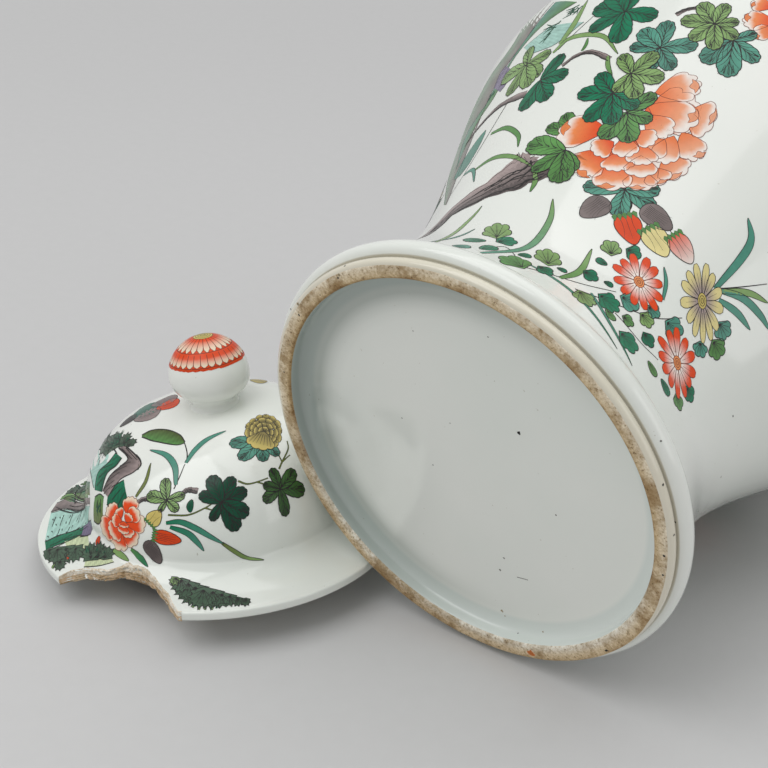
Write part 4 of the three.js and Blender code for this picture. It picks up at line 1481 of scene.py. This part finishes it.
def paint_strips(brush, strips, edge_width):
    """Streaked strips between two rows of pixels, with a dark line along both edges."""
    for upper, lower, first, second, level in strips:
        edges = [brush.seen(pixels) for pixels in (upper, lower)]
        brush.band("green", *edges, streaked_tone(first, second), level)
        for edge in edges:
            stalk(brush, edge, edge_width, level + 0.8)


def sprig(brush, spot, count, level):
    """A tuft of short needles about a unit long, fanning out from the foot."""
    for _ in range(count):
        lean = brush.random.uniform(-0.9, 0.9)
        foot = (brush.random.uniform(-0.3, 0.3), brush.random.uniform(-0.1, 0.5))
        tip = (foot[0] + 0.5 * math.sin(lean), foot[1] + brush.random.uniform(0.35, 0.55) * math.cos(lean))
        path = spot.points([foot, ((foot[0] + tip[0]) / 2, (foot[1] + tip[1]) / 2), tip])
        brush.stroke("green", path, [1.1, 0.8, 0.3], DEEP_GREEN * 0.8, level)
        brush.line(spot, foot, tip, level + 0.4, 0.4)


def paint_jar_seen(brush):
    """The jar's painting that the camera sees."""
    paint_strips(brush, JAR_STRIPS_PX, 0.5)
    paint_sprigs(brush, JAR_SPRIGS_PX, 2)
    paint_branches(brush, JAR_BRANCHES_PX, 0)
    for pixels in JAR_STALKS_PX:
        stalk(brush, brush.seen(pixels), 0.7, 1)
    paint_blades(brush, JAR_BLADES_PX, 1)
    paint_petals(brush, JAR_PEONY_PX, 3)
    paint_petals(brush, JAR_FLOWER_PX, 3)
    paint_leaves(brush, JAR_LEAVES_PX, 0.285)
    paint_buds(brush, JAR_BUDS_PX, 3)
    for centre, end, aside, *looks in JAR_DAISIES_PX:
        daisy(brush, round_spot(brush, centre, end, aside), *looks, 3)
    for foot, tip, colour, scallops in JAR_LEAFLETS_PX:
        leaflet(brush, long_spot(brush, foot, tip), colour, 2, scallops)


# The cover's painting that the photograph shows. A table named like one of the jar's says the same things.

COVER_LEAVES_PX = [
    ((167, 500), [(147, 495), (159, 512), (178, 511), (185, 495), (165, 478)], APPLE, 4),
    ((222, 502), [(199, 494), (211, 521), (210, 475), (233, 476), (238, 532), (249, 515), (247, 490)],
     DEEP_GREEN * 0.34, 3),
    ((280, 489), [(263, 501), (271, 468), (286, 517), (305, 490), (295, 470), (263, 485)],
     MID_GREEN * 0.46, 3),
    ((262, 441), [(229, 444), (239, 460), (279, 456), (263, 462)], TEAL, 2),
]
COVER_BUDS_PX = [
    ((149, 524), (161, 511), 0.52, YELLOW, YELLOW * 0.9, True, 2),
    ((153, 535), (182, 541), 0.28, IRON_RED, IRON_RED * 0.9, True, 5),
    ((146, 541), (161, 563), 0.34, AUBERGINE * 0.7, AUBERGINE * 0.8, False, 6),
]
COVER_PEONY_PX = [
    ((128, 516), (133, 496), 0.5, 1), ((120, 520), (107, 507), 0.55, 1), ((126, 525), (146, 521), 0.6, 1),
    ((124, 530), (137, 545), 0.6, 1), ((120, 530), (117, 549), 0.62, 1), ((118, 526), (101, 529), 0.6, 1),
    ((126, 520), (140, 511), 0.55, 1), ((122, 518), (117, 509), 0.7, 1),
    ((123, 526), (110, 534), 0.62, 1), ((126, 526), (131, 538), 0.6, 1), ((123, 522), (112, 519), 0.6, 1),
    ((126, 522), (131, 514), 0.6, 1), ((124, 524), (123, 534), 0.7, 1),
    ((124, 521), (124, 528), 0.9, 0.9),
]
COVER_BLADES_PX = [
    ([(136, 497), (146, 481), (151, 463)], 2, OLIVE, OLIVE),
    ([(176, 485), (175, 467), (166, 455), (150, 450)], 3.2, TEAL, TEAL),
    ([(186, 463), (196, 449), (208, 439), (226, 431)], 3, TEAL, TEAL),
    ([(166, 523), (180, 522), (195, 528), (211, 537), (224, 544)], 3, DEEP_GREEN, TEAL),
    ([(222, 543), (234, 551), (247, 558), (264, 560)], 2.2, OLIVE, APPLE),
    ([(170, 527), (187, 533), (197, 542), (204, 551)], 3.2, DEEP_GREEN, TEAL),
    ([(131, 549), (139, 556), (148, 567)], 3.4, MID_GREEN, DEEP_GREEN),
    ([(113, 550), (121, 555), (129, 561)], 3.4, APPLE, APPLE),
    ([(136, 455), (140, 462), (138, 470)], 1.2, OLIVE, OLIVE),
]
COVER_BRANCHES_PX = [
    ([(138, 502), (144, 499), (152, 500)], 2.2, 2.6),
    ([(182, 494), (188, 490), (198, 491)], 2.4, 3),
]
COVER_STALKS_PX = [
    ([(168, 515), (188, 515), (205, 508), (213, 503)], 1.2, OLIVE),
    ([(205, 508), (215, 511)], 1, OLIVE),
    ([(238, 481), (247, 484), (257, 482), (268, 478)], 1.2, OLIVE),
    ([(257, 482), (272, 487)], 1, OLIVE),
    ([(279, 469), (282, 462), (288, 449), (287, 441)], 1.2, OLIVE),
    ([(282, 462), (278, 454)], 1, OLIVE),
    ([(282, 462), (290, 455)], 1, OLIVE),
    ([(174, 489), (180, 476), (185, 464)], 0.8, INK),
    ([(187, 463), (187, 452), (184, 441)], 0.8, INK),
]

# Rocks, water and ground: both edges of each strip, the colours of both edges, and the level
COVER_STRIPS_PX = [
    ([(99, 447), (92, 460), (91, 474), (94, 488)], [(110, 444), (117, 456), (103, 468), (97, 486)],
     TURQUOISE, TURQUOISE, 1),
    ([(116, 453), (108, 463), (98, 473), (95, 490)], [(122, 458), (116, 466), (107, 474), (102, 492)],
     DEEP_GREEN * 1.2, DEEP_GREEN * 0.5, 2),
    ([(119, 448), (128, 458), (121, 466), (110, 476), (103, 491)],
     [(126, 446), (141, 462), (134, 472), (120, 480), (108, 497)], AUBERGINE * 0.6, AUBERGINE * 1.9, 3),
    ([(109, 489), (117, 484), (124, 480)], [(107, 504), (117, 514), (128, 500)], DEEP_GREEN,
     DEEP_GREEN * 0.6, 2),
    ([(95, 497), (100, 494), (104, 497)], [(94, 521), (99, 524), (103, 516)], MID_GREEN, OLIVE, 1),
    ([(67, 489), (78, 485), (90, 482)], [(62, 498), (76, 497), (90, 495)], DEEP_GREEN * 0.8, OLIVE, 0.5),
    ([(62, 497), (74, 494), (88, 494)], [(60, 500), (74, 498), (88, 498)], APPLE, MID_GREEN, 1.2),
    ([(57, 503), (72, 500), (90, 498)], [(51, 512), (70, 509), (90, 504)], AUBERGINE * 1.7,
     AUBERGINE * 0.7, 1),
    ([(51, 513), (70, 510), (90, 506)], [(45, 542), (64, 534), (88, 523)], TURQUOISE, TURQUOISE * 1.05,
     0.5),
    ([(45, 542), (60, 535), (84, 525)], [(46, 551), (58, 545), (82, 534)], DEEP_GREEN, DEEP_GREEN * 0.7,
     1.5),
    ([(76, 530), (84, 524), (91, 520)], [(80, 537), (86, 536), (91, 534)], VIOLET, VIOLET * 0.8, 1),
    ([(64, 540), (76, 536), (88, 536)], [(68, 550), (78, 554), (90, 552)], PALE_GREEN, PALE_GREEN, 1.4),
    ([(86, 558), (98, 559), (110, 557)], [(84, 567), (98, 566), (114, 562)], PALE_GREEN, PALE_GREEN, 0.8),
    ([(142, 435), (153, 430), (168, 430), (180, 435), (185, 442)],
     [(142, 437), (153, 441), (168, 444), (178, 445), (185, 443)], OLIVE * 0.45, MID_GREEN, 1),
]

# Hatching on the bands of rock: both ends of each line
COVER_HATCHES_PX = [
    ((122, 449), (132, 459)), ((126, 448), (137, 460)), ((120, 466), (131, 462)),
    ((113, 473), (127, 466)), ((107, 482), (120, 472)), ((104, 489), (115, 480)),
    ((104, 494), (112, 485)), ((112, 461), (117, 457)), ((104, 468), (113, 464)), ((99, 478), (107, 470)),
    ((97, 486), (103, 478)), ((110, 494), (118, 486)), ((112, 500), (122, 488)), ((117, 508), (125, 492)),
    ((56, 507), (88, 501)), ((60, 510), (86, 503)), ((64, 493), (88, 488)), ((68, 489), (86, 485)),
    ((50, 546), (72, 534)), ((54, 548), (76, 536)), ((98, 500), (98, 516)), ((101, 499), (101, 514)),
    ((80, 531), (88, 526)), ((56, 517), (52, 527)), ((64, 515), (60, 526)), ((73, 514), (69, 525)),
    ((82, 512), (78, 523)), ((60, 529), (57, 536)), ((70, 527), (67, 533)), ((105, 450), (97, 462)),
]

# Short dark dashes on the turquoise strips: the middle of each
COVER_DASHES_PX = [
    (103, 456), (99, 463), (108, 452), (60, 518), (70, 517), (80, 514), (56, 525), (66, 523), (77, 520),
    (52, 532), (62, 530), (72, 527), (48, 537), (57, 536), (66, 533), (86, 511), (83, 517), (53, 520),
    (46, 541),
]

# Tufts: the foot, the tip and how many needles
COVER_SPRIGS_PX = [
    ((117, 446), (113, 434), 20), ((126, 445), (131, 436), 14), ((108, 446), (103, 440), 12),
    ((60, 556), (56, 545), 12), ((98, 558), (98, 543), 12), ((98, 512), (98, 500), 8),
    ((70, 492), (84, 486), 10), ((196, 606), (200, 592), 8), ((176, 584), (180, 577), 8),
    ((214, 608), (214, 596), 8), ((90, 556), (84, 546), 8),
]

# Fans of foliage: the foot, the tip, the colour and the scallops
COVER_FANS_PX = [
    ((246, 598), (245, 606), FOLIAGE, 6), ((238, 597), (237, 606), FOLIAGE, 7),
    ((230, 594), (229, 606), FOLIAGE, 7), ((222, 592), (220, 607), FOLIAGE, 8),
    ((213, 589), (211, 608), FOLIAGE, 8), ((204, 587), (202, 608), FOLIAGE, 9),
    ((196, 584), (193, 605), FOLIAGE, 9), ((189, 581), (186, 599), FOLIAGE, 8),
    ((182, 578), (179, 592), FOLIAGE, 7), ((177, 577), (173, 585), APPLE * 0.7, 6),
    ((50, 548), (49, 560), FOLIAGE, 6), ((58, 547), (57, 563), FOLIAGE, 7),
    ((67, 546), (66, 563), FOLIAGE, 7), ((76, 546), (76, 561), FOLIAGE, 7),
    ((92, 560), (88, 545), FOLIAGE, 7), ((98, 560), (98, 543), FOLIAGE, 8),
    ((104, 560), (108, 546), FOLIAGE, 7), ((60, 560), (60, 570), FOLIAGE, 6),
    ((120, 446), (112, 436), FOLIAGE, 6), ((124, 446), (126, 434), FOLIAGE, 7),
    ((114, 449), (103, 443), FOLIAGE, 6), ((128, 447), (133, 439), FOLIAGE, 6),
    ((70, 494), (76, 487), FOLIAGE, 6), ((80, 493), (86, 486), FOLIAGE, 6),
]
COVER_DOTS_PX = [
    ((190, 506), 3.4, DEEP_GREEN * 0.6), ((62, 552), 2.6, IRON_RED), ((69, 556), 2.6, IRON_RED),
    ((59, 557), 2, IRON_RED), ((98, 541), 2.2, IRON_RED), ((54, 566), 1.8, APPLE),
    ((199, 608), 1.4, APPLE), ((193, 606), 1.4, APPLE), ((205, 608), 1.4, APPLE),
    ((212, 608), 1.4, APPLE), ((187, 601), 1.4, APPLE), ((180, 594), 1.4, APPLE),
]

# The bird: for each part its foot, its tip, the half width as a share, and the colour
COVER_BIRD_PX = [
    ((120, 427), (137, 415), 0.16, INK * 2), ((131, 419), (160, 404), 0.2, TEAL * 0.6),
    ((134, 420), (161, 411), 0.24, AUBERGINE * 1.7), ((151, 406), (178, 397), 0.16, AUBERGINE * 1.4),
    ((156, 409), (180, 401), 0.18, IRON_RED),
]

# The yellow flower: its middle and the ends of two scales at right angles, the petal in front of it and the
# leaf behind it with foot, tip and half width, and its rings of scales
COVER_YELLOW_PX = ((264, 431), (264, 414), (281, 427))
COVER_FRONT_PETAL_PX = ((264, 432), (258, 450), 0.8)
COVER_FAR_LEAF_PX = ((250, 380), (267, 382), 0.2)
SCALE_RINGS = ((1, 14, 0.42, 0.55), (0.76, 11, 0.38, 0.58), (0.54, 8, 0.34, 0.6), (0.32, 5, 0.3, 0.62))


def paint_cover_seen(brush):
    """The cover's painting that the camera sees: a rocky bank with a bird, and flowers beside it."""
    paint_strips(brush, COVER_STRIPS_PX, 0.9)
    for pixels in COVER_HATCHES_PX:
        stalk(brush, brush.seen(pixels), 0.6, 4)
    for pixel in COVER_DASHES_PX:
        spot = long_spot(brush, pixel, (pixel[0] + 4, pixel[1] - 1.5))
        brush.line(spot, (-0.5, 0), (0.5, 0.1), 3, 0.8)
    paint_sprigs(brush, COVER_SPRIGS_PX, 4)
    for k, (foot, tip, colour, scallops) in enumerate(COVER_FANS_PX):
        leaflet(brush, long_spot(brush, foot, tip, 1, 2), colour, 3 + 0.4 * (k % 6), scallops, True)
    paint_branches(brush, COVER_BRANCHES_PX, 1)
    for pixels, width, colour in COVER_STALKS_PX:
        stalk(brush, brush.seen(pixels), width, 1)
        stalk(brush, brush.seen(pixels), width * 0.5, 1.6, colour, "green")
    paint_blades(brush, COVER_BLADES_PX, 2)
    paint_red_petals(brush, COVER_PEONY_PX, 4)
    paint_leaves(brush, COVER_LEAVES_PX, 0.27)
    paint_buds(brush, COVER_BUDS_PX, 5)
    for pixel, size, colour in COVER_DOTS_PX:
        spot = long_spot(brush, pixel, (pixel[0] + size, pixel[1]))
        outline = lobe_outline(1, 14) * 2 - (0, 1)
        brush.patch("green", spot, outline, pooled_tone(colour, 0.4), 3, rings=SMALL_RINGS)
        brush.rim(spot, outline, 3.5, 0.3)
    paint_bird(brush)
    paint_yellow_peony(brush)


def paint_bird(brush):
    """The bird's wings, tail and red patch, each a slim shape with fine feathers."""
    for foot, tip, width, colour in COVER_BIRD_PX:
        spot = long_spot(brush, foot, tip, 1, 3)
        outline = lobe_outline(width, 18)
        brush.patch("green", spot, outline, pooled_tone(colour, 0.2), 3, middle=(0, 0.5))
        brush.rim(spot, outline, 3.6, 0.36)
        for k in (-1, 0, 1):
            brush.line(spot, (k * width * 0.3, 0.2), (k * width * 0.4, 0.9), 3.5, 0.26)


def paint_yellow_peony(brush):
    """The yellow flower: rows of small scales, one broad petal in front and a leaf behind it."""
    colours = (YELLOW * 0.08, YELLOW * 0.5, YELLOW * 0.85)
    peony(brush, round_spot(brush, *COVER_YELLOW_PX), (0, -0.1), colours, 4, SCALE_RINGS, INK)
    foot, tip, half = COVER_FRONT_PETAL_PX
    own = long_spot(brush, foot, tip)
    petal(brush, own, half, YELLOW * 0.35, YELLOW * 0.75, YELLOW * 0.9, 9, lip=False, ink=INK)
    for k in range(-3, 4):
        brush.line(own, (0.1 * k, 0.15), (0.2 * k, 0.7), 9.5, 0.4)
    foot, tip, half = COVER_FAR_LEAF_PX
    leaf_lobe(brush, long_spot(brush, foot, tip, 1, 3), half, YELLOW * 0.7, 2, True)


# The knob's flower: where its middle, its inner row and its border are seen, and how many petals both rows
# have. Then angles in radians: the edge of its eye, the start of the inner row, the gaps after that row and
# before the border, how far past a row its ring is, and how far within the border the cap and its rim end
KNOB_MIDDLE_PX = (202.7, 335.2)
KNOB_DIVIDER_PX = ((186, 352.5), (194.6, 353.9), (203, 353.6), (212.5, 351.3))
KNOB_BORDER_PX = ((190, 372.6), (203, 372.2), (215, 369.7), (228, 364.2))
KNOB_PETALS = (23, 30)
KNOB_EYE, KNOB_ROW_START = 0.24, 0.12
ROW_GAP, BORDER_GAP, ROW_RING, CAP_INSET, CAP_RIM_INSET = 0.02, 0.08, 0.015, 0.03, 0.035


def paint_knob(brush):
    """An open chrysanthemum that caps the ball: a yellow eye and two rows of petals within a red border."""
    centre = brush.skin.origin + brush.skin.axis * KNOB_CENTRE
    pole = brush.skin.seen(KNOB_MIDDLE_PX) - centre
    pole /= np.linalg.norm(pole)
    across = np.cross(pole, brush.skin.side)
    across /= np.linalg.norm(across)
    spot = Spot(brush.skin, centre + pole * KNOB_RADIUS, across, np.cross(pole, across), pole)

    def opening(pixels):
        """The mean angle between the middle of the flower and some pixels."""
        out = brush.seen(pixels) - centre
        return np.arccos(out @ pole / np.linalg.norm(out, axis=1)).mean()

    divider, border = opening(KNOB_DIVIDER_PX), opening(KNOB_BORDER_PX)
    around = even_angles(92)
    shares = np.tan(np.linspace(0, border, 20)[1:]) / math.tan(border)
    cap = ring_points(border - CAP_INSET, around)
    brush.patch("red", spot, cap, pooled_tone(IRON_RED, 0.1), 1, rings=shares)
    rows = ((KNOB_ROW_START, divider), (divider + ROW_GAP, border - BORDER_GAP))
    for (inner, outer), count in zip(rows, KNOB_PETALS):
        for n in range(count):
            knob_petal(brush, spot, 2 * math.pi * n / count, math.pi / count, inner, outer)
        edge = ring_points(outer + ROW_RING, around)
        brush.stroke("ink", spot.points(edge), 0.4, RED_INK, 3.2, closed=True)
    rim = ring_points(border - CAP_RIM_INSET, around)
    brush.stroke("red", spot.points(rim), 1.7, IRON_RED * 0.85, 2.5, closed=True)
    eye = ring_points(KNOB_EYE, around)
    brush.patch("red", spot, eye, pooled_tone(YELLOW, 0.2), 3, rings=SMALL_RINGS)
    for size in (1, 0.75, 0.5, 0.25):
        brush.stroke("ink", spot.points(eye * size), 0.34, OLIVE * 0.6, 3.7, closed=True)


def ring_points(angle, turn):
    """Flat points that lie at an angle from the middle of the knob's flower once they are on the ball."""
    reach = KNOB_RADIUS * np.tan(angle)
    return np.stack([reach * np.sin(turn), reach * np.cos(turn)], -1)


def knob_petal(brush, spot, turn, half, inner, outer):
    """One petal between two rings: red at its foot, cream at its round end, with a line on both sides."""
    level, sides = 2, (-1, -0.5, 0, 0.5, 1)
    t = np.linspace(0, 1, 9)
    reach = inner + (outer - inner) * t
    width = half * 0.97 * np.where(t > 0.75, np.sqrt(np.clip(1 - ((t - 0.75) / 0.26) ** 2, 0, 1)), 1)
    rows = np.stack([ring_points(reach, turn + side * width) for side in sides], 1)
    tints = np.repeat(mixed(IRON_RED, CREAM_PETAL, (t - 0.36) / 0.5), len(sides), 0)
    faces = grid_faces(len(t), len(sides))
    corners = spot.points(rows.reshape(-1, 2))
    normal = np.cross(corners[len(sides)] - corners[0], corners[1] - corners[0])
    if np.dot(normal, spot.out) < 0:
        faces = [face[::-1] for face in faces]
    brush.add("red", corners, faces, tints, np.full(len(corners), LIFT + LEVEL * level))
    for side in (0, -1):
        brush.stroke("ink", spot.points(rows[1:, side]), 0.26, RED_INK, level + 0.8)


# The sides that the photograph doesn't show: sprays like those that it shows

# A spray in units of its size: the rings of its peony, the colours to choose from, and the points of its
# branch, stalk, blades, leaves and buds. A bud has its turn too
SPRAY_RINGS = ((1, 11, 0.5, 0.6), (0.72, 9, 0.42, 0.6), (0.46, 7, 0.34, 0.62), (0.22, 4, 0.24, 0.66))
SPRAY_COLOURS = (
    (IRON_RED, PALE_RED, PETAL_WHITE),
    (YELLOW * 0.7, YELLOW, YELLOW * 1.1),
    (AUBERGINE, AUBERGINE * 1.6, PETAL_WHITE),
)
SPRAY_BRANCH = [(-0.95, -0.9), (-0.5, -0.5), (-0.2, -0.1), (0.1, 0.45), (0.55, 0.85)]
SPRAY_STALK = [(-0.9, -0.9), (-0.4, -0.4), (0, 0.2), (0.4, 0.9)]
SPRAY_BLADES = [
    [(-0.8, -0.8), (-0.9, -0.2), (-0.6, 0.3)], [(-0.4, -0.5), (0.2, -0.7), (0.9, -0.6)],
    [(0.2, 0.5), (0.1, 0.8), (-0.3, 1)],
]
SPRAY_LEAVES = [(-0.55, 0.0), (-0.25, 0.55), (0.3, 0.8), (0.62, 0.3), (0.5, -0.5), (-0.05, -0.62)]
SPRAY_BUDS = [(0.595, -0.15, -1.6), (0.49, 0.0, -1.2)]

# Each spray: its azimuth, how far along the outline, its size, its lean and its flower's colours
JAR_SPRAYS = [
    (-22, 218, 62, 0.3, 0), (30, 262, 46, -0.5, 1), (72, 160, 56, -0.2, 0), (108, 232, 62, 0.4, 2),
    (142, 112, 50, 0.1, 0), (172, 214, 62, -0.4, 0), (-166, 118, 44, 0.5, 1), (-84, 312, 44, 1.2, 1),
    (-40, 318, 40, -1.1, 0), (12, 330, 40, 1, 2), (70, 318, 42, -1, 0), (128, 322, 42, 1.1, 1),
    (-178, 325, 42, -1, 0), (-134, 318, 42, 1, 2),
]
COVER_SPRAYS = [
    (64, 66, 22, 0.6, 0), (112, 60, 24, -0.6, 2), (160, 64, 22, 0.5, 1), (30, 14, 12, 1.4, 1),
    (88, 14, 12, -1.4, 0), (140, 14, 12, 1.4, 2), (-172, 14, 12, -1.4, 0),
]
LEAF_COLOURS = (DEEP_GREEN, TEAL, MID_GREEN, APPLE)
SPRAY_FULLNESS = 0.36

# Each daisy on the neck: its azimuth and how far along the outline
NECK_DAISIES = [(0, 402), (60, 398), (120, 404), (180, 400), (240, 404), (300, 398)]


def spray(brush, azimuth, run, size, lean, flower):
    """A branch with a peony, leaves, buds and blades round a place on the skin."""
    skin = brush.skin
    upright = Spot.facing(skin, skin.at(azimuth, run), skin.at(azimuth, run + 2)).scaled(size, size)
    spot = upright.moved((0, 0), lean)
    fine = size < 30
    if fine:
        stalk(brush, spot.points(SPRAY_STALK), 0.7, 0)
    else:
        branch(brush, spot.points(SPRAY_BRANCH), 1, size * 0.07, 0)
    for path in SPRAY_BLADES:
        blade(brush, spot.points(path), size * 0.06, TEAL, APPLE, 1)
    for flat in SPRAY_LEAVES:
        tint = LEAF_COLOURS[brush.random.integers(4)]
        own = spot.moved(flat, brush.random.uniform(0, 6))
        tips = spread_tips(brush, brush.random.integers(5, 7), 0.3)
        palm_leaf(brush, own, tips, tint, 2, SPRAY_FULLNESS, fine)
    colours = SPRAY_COLOURS[flower]
    rings = SPRAY_RINGS[:3] if fine else SPRAY_RINGS
    peony(brush, spot.moved((0.08, 0.0), size=0.4), (-0.2, 0.1), colours, 4, rings)
    for x, y, turn in SPRAY_BUDS:
        bud(brush, spot.moved((x, y), turn, 0.24), 0.4, *colours[:2], 4, calyx=True, veins=3)


def neck_daisy(brush, azimuth, run):
    """A small flower between two leaves, which lie along the neck."""
    skin = brush.skin
    spot = Spot.facing(skin, skin.at(azimuth, run), skin.at(azimuth + 3, run)).scaled(13, 13)
    stalk(brush, spot.points([(-0.6, -1), (0, 0), (0.5, 1)]), 0.7, 0)
    for flat, colour in (((-0.3, 0.9), TEAL), ((0.4, -0.9), APPLE)):
        palm_leaf(brush, spot.moved(flat), spread_tips(brush, 5, 0.7), colour, 1, SPRAY_FULLNESS, True)
    daisy(brush, spot.scaled(0.9, 0.9), 12, PETAL_WHITE, IRON_RED, YELLOW, RED_INK, 3)


def paint_unseen(jar_brush, cover_brush):
    for place in JAR_SPRAYS:
        spray(jar_brush, *place)
    for place in COVER_SPRAYS:
        spray(cover_brush, *place)
    for place in NECK_DAISIES:
        neck_daisy(jar_brush, *place)


# Small flaws: stains and pits on the foot, specks on the base and the body. Each is a pixel, half a width
# and a colour, and a scratch is both its ends and its width

FLAWS_PX = [
    ((531, 653), 2.1, RUST), ((607, 651), 1.0, INK), ((663, 485), 0.7, INK), ((675, 522), 0.7, INK),
    ((674, 535), 0.6, INK), ((664, 556), 0.7, INK), ((663, 575), 0.6, INK), ((519, 433), 1.0, INK),
    ((413, 331), 0.4, GREY), ((488, 337), 0.4, GREY), ((402, 418), 0.4, GREY), ((450, 423), 0.35, GREY),
    ((433, 465), 0.4, GREY), ((556, 515), 0.5, GREY), ((504, 558), 0.6, GREY), ((500, 570), 0.7, GREY),
    ((502, 611), 0.8, STAIN), ((505, 616), 0.5, STAIN), ((518, 633), 0.4, GREY), ((543, 632), 0.5, STAIN),
    ((661, 441), 0.5, GREY), ((733, 416), 0.6, GREY), ((721, 477), 0.6, GREY), ((339, 275), 0.9, STAIN),
    ((345, 266), 0.6, INK), ((338, 278), 0.6, INK), ((291, 309), 0.5, INK), ((299, 315), 0.6, INK),
    ((298, 304), 0.9, STAIN), ((320, 295), 0.5, STAIN), ((284, 372), 0.5, INK), ((290, 345), 0.6, STAIN),
]
SCRATCHES_PX = [((517, 577), (528, 580), 0.5)]


def foot_skin(jar):
    """The sunk base, the foot ring and the body above it. The ring's bare face stands a little proud."""
    base = straight((1, BASE_DEPTH), (BASE_COVE, BASE_DEPTH), BASE_STEPS)
    outline = joined(base, foot_outline(), body_outline())
    bare = (outline[:, :1] > FOOT_INNER) & (outline[:, 1:] < 1.5)
    return Skin("jar", jar.origin, jar.axis, jar.side, outline + np.where(bare, (0, FACE_HEIGHT), (0, 0)))


def paint_flaws(brush):
    for pixel, size, colour in FLAWS_PX:
        place = brush.skin.seen(pixel)
        aside = brush.skin.seen((pixel[0] + 3, pixel[1]))
        spot = Spot.facing(brush.skin, place, aside).scaled(size, size)
        turn = even_angles(11)
        uneven = 1 + brush.random.uniform(-0.35, 0.35, 11)
        outline = np.stack([np.cos(turn), np.sin(turn)], 1) * uneven[:, None]
        brush.patch("ink", spot, outline, pooled_tone(colour, 0.2), -0.5, rings=SMALL_RINGS)
    for start, end, width in SCRATCHES_PX:
        brush.stroke("ink", resampled(brush.seen([start, end]), 5), width, GREY, -0.5)


# The stage

# The floor's colour, half its width and its height in metres, and where it fades into the background
FLOOR = srgb(203, 203, 203)
FLOOR_HALF, FLOOR_HEIGHT = 4.0, -0.0006
FLOOR_FADE_START, FLOOR_FADE_END = 0.75, 2.6

# How bright the world is where it lights the vessels
WORLD_GREY = 0.43

# Each light: its name, where it stands and what it looks at in metres, its size and its power
LIGHTS = [
    ("front", (-0.9, -1.5, 2.6), (0, 0, 0.1), (2.4, 2.4), 39),
    ("back", (0.2, 0.9, 3.0), (0, 0, 0.1), (3, 3), 30),
    ("side", (3.0, 0.4, 0.8), (0, 0, 0.1), (2, 2), 13),
]


def make_stage():
    signs = ((-1, -1), (1, -1), (1, 1), (-1, 1))
    corners = [(x * FLOOR_HALF, y * FLOOR_HALF, FLOOR_HEIGHT) for x, y in signs]
    mesh = bpy.data.meshes.new("floor")
    mesh.from_pydata(corners, [], [(0, 1, 2, 3)])
    mesh.materials.append(floor_material())
    floor = bpy.data.objects.new("floor", mesh)
    bpy.context.scene.collection.objects.link(floor)


def make_world():
    world = bpy.data.worlds.new("studio")
    world.use_nodes = True
    bpy.context.scene.world = world
    tree = world.node_tree
    background = next(n for n in tree.nodes if n.type == "BACKGROUND")
    colour = blended(tree, WHITE * WORLD_GREY, FLOOR, looked_at(tree))
    feed(tree, background.inputs, {"Color": colour})


def make_light(name, place, aim, size, power):
    data = bpy.data.lights.new(name, "AREA")
    data.shape = "RECTANGLE"
    data.size, data.size_y = size
    data.energy = power
    light = bpy.data.objects.new(name, data)
    light.location = place
    light.rotation_euler = (Vector(aim) - Vector(place)).to_track_quat("-Z", "Y").to_euler()
    bpy.context.scene.collection.objects.link(light)


def make_camera():
    data = bpy.data.cameras.new("camera")
    data.sensor_width = SENSOR
    data.lens = SENSOR * FOCAL_PX / PHOTO_PX
    camera = bpy.data.objects.new("camera", data)
    camera.location = Vector(CAMERA_AT) * MM
    camera.rotation_euler = (math.radians(90 - CAMERA_DOWN), 0, math.radians(CAMERA_ROUND))
    bpy.context.scene.collection.objects.link(camera)
    bpy.context.scene.camera = camera


def main():
    bpy.context.scene.view_settings.view_transform = "Standard"
    glaze = glaze_material()
    biscuit = biscuit_material("bare_porcelain", pits=srgb(104, 82, 54), stains=srgb(176, 152, 112))
    fresh = biscuit_material("broken_porcelain", pits=srgb(196, 174, 148), stains=srgb(226, 212, 190))
    jar, cover = jar_skin(), cover_skin()
    make_jar(jar, glaze, biscuit)
    make_cover(cover, glaze, biscuit)
    make_break(cover, fresh)
    make_knob(cover, glaze)
    paints = {
        "green": enamel_material("green_enamel", roughness=0.16, mottling=0.16),
        "red": enamel_material("iron_red", roughness=0.26, mottling=0.08),
        "ink": enamel_material("ink_lines", roughness=0.4, mottling=0.1),
    }
    jar_brush, cover_brush = Brush(jar, "jar", SEED), Brush(cover, "cover", SEED)
    knob_brush, foot_brush = Brush(knob_skin(cover), "knob", SEED), Brush(foot_skin(jar), "foot", SEED)
    paint_jar_seen(jar_brush)
    paint_cover_seen(cover_brush)
    paint_knob(knob_brush)
    paint_unseen(jar_brush, cover_brush)
    paint_flaws(foot_brush)
    for brush in (jar_brush, cover_brush, knob_brush, foot_brush):
        brush.finish(paints)
    make_stage()
    make_world()
    for light in LIGHTS:
        make_light(*light)
    make_camera()


main()
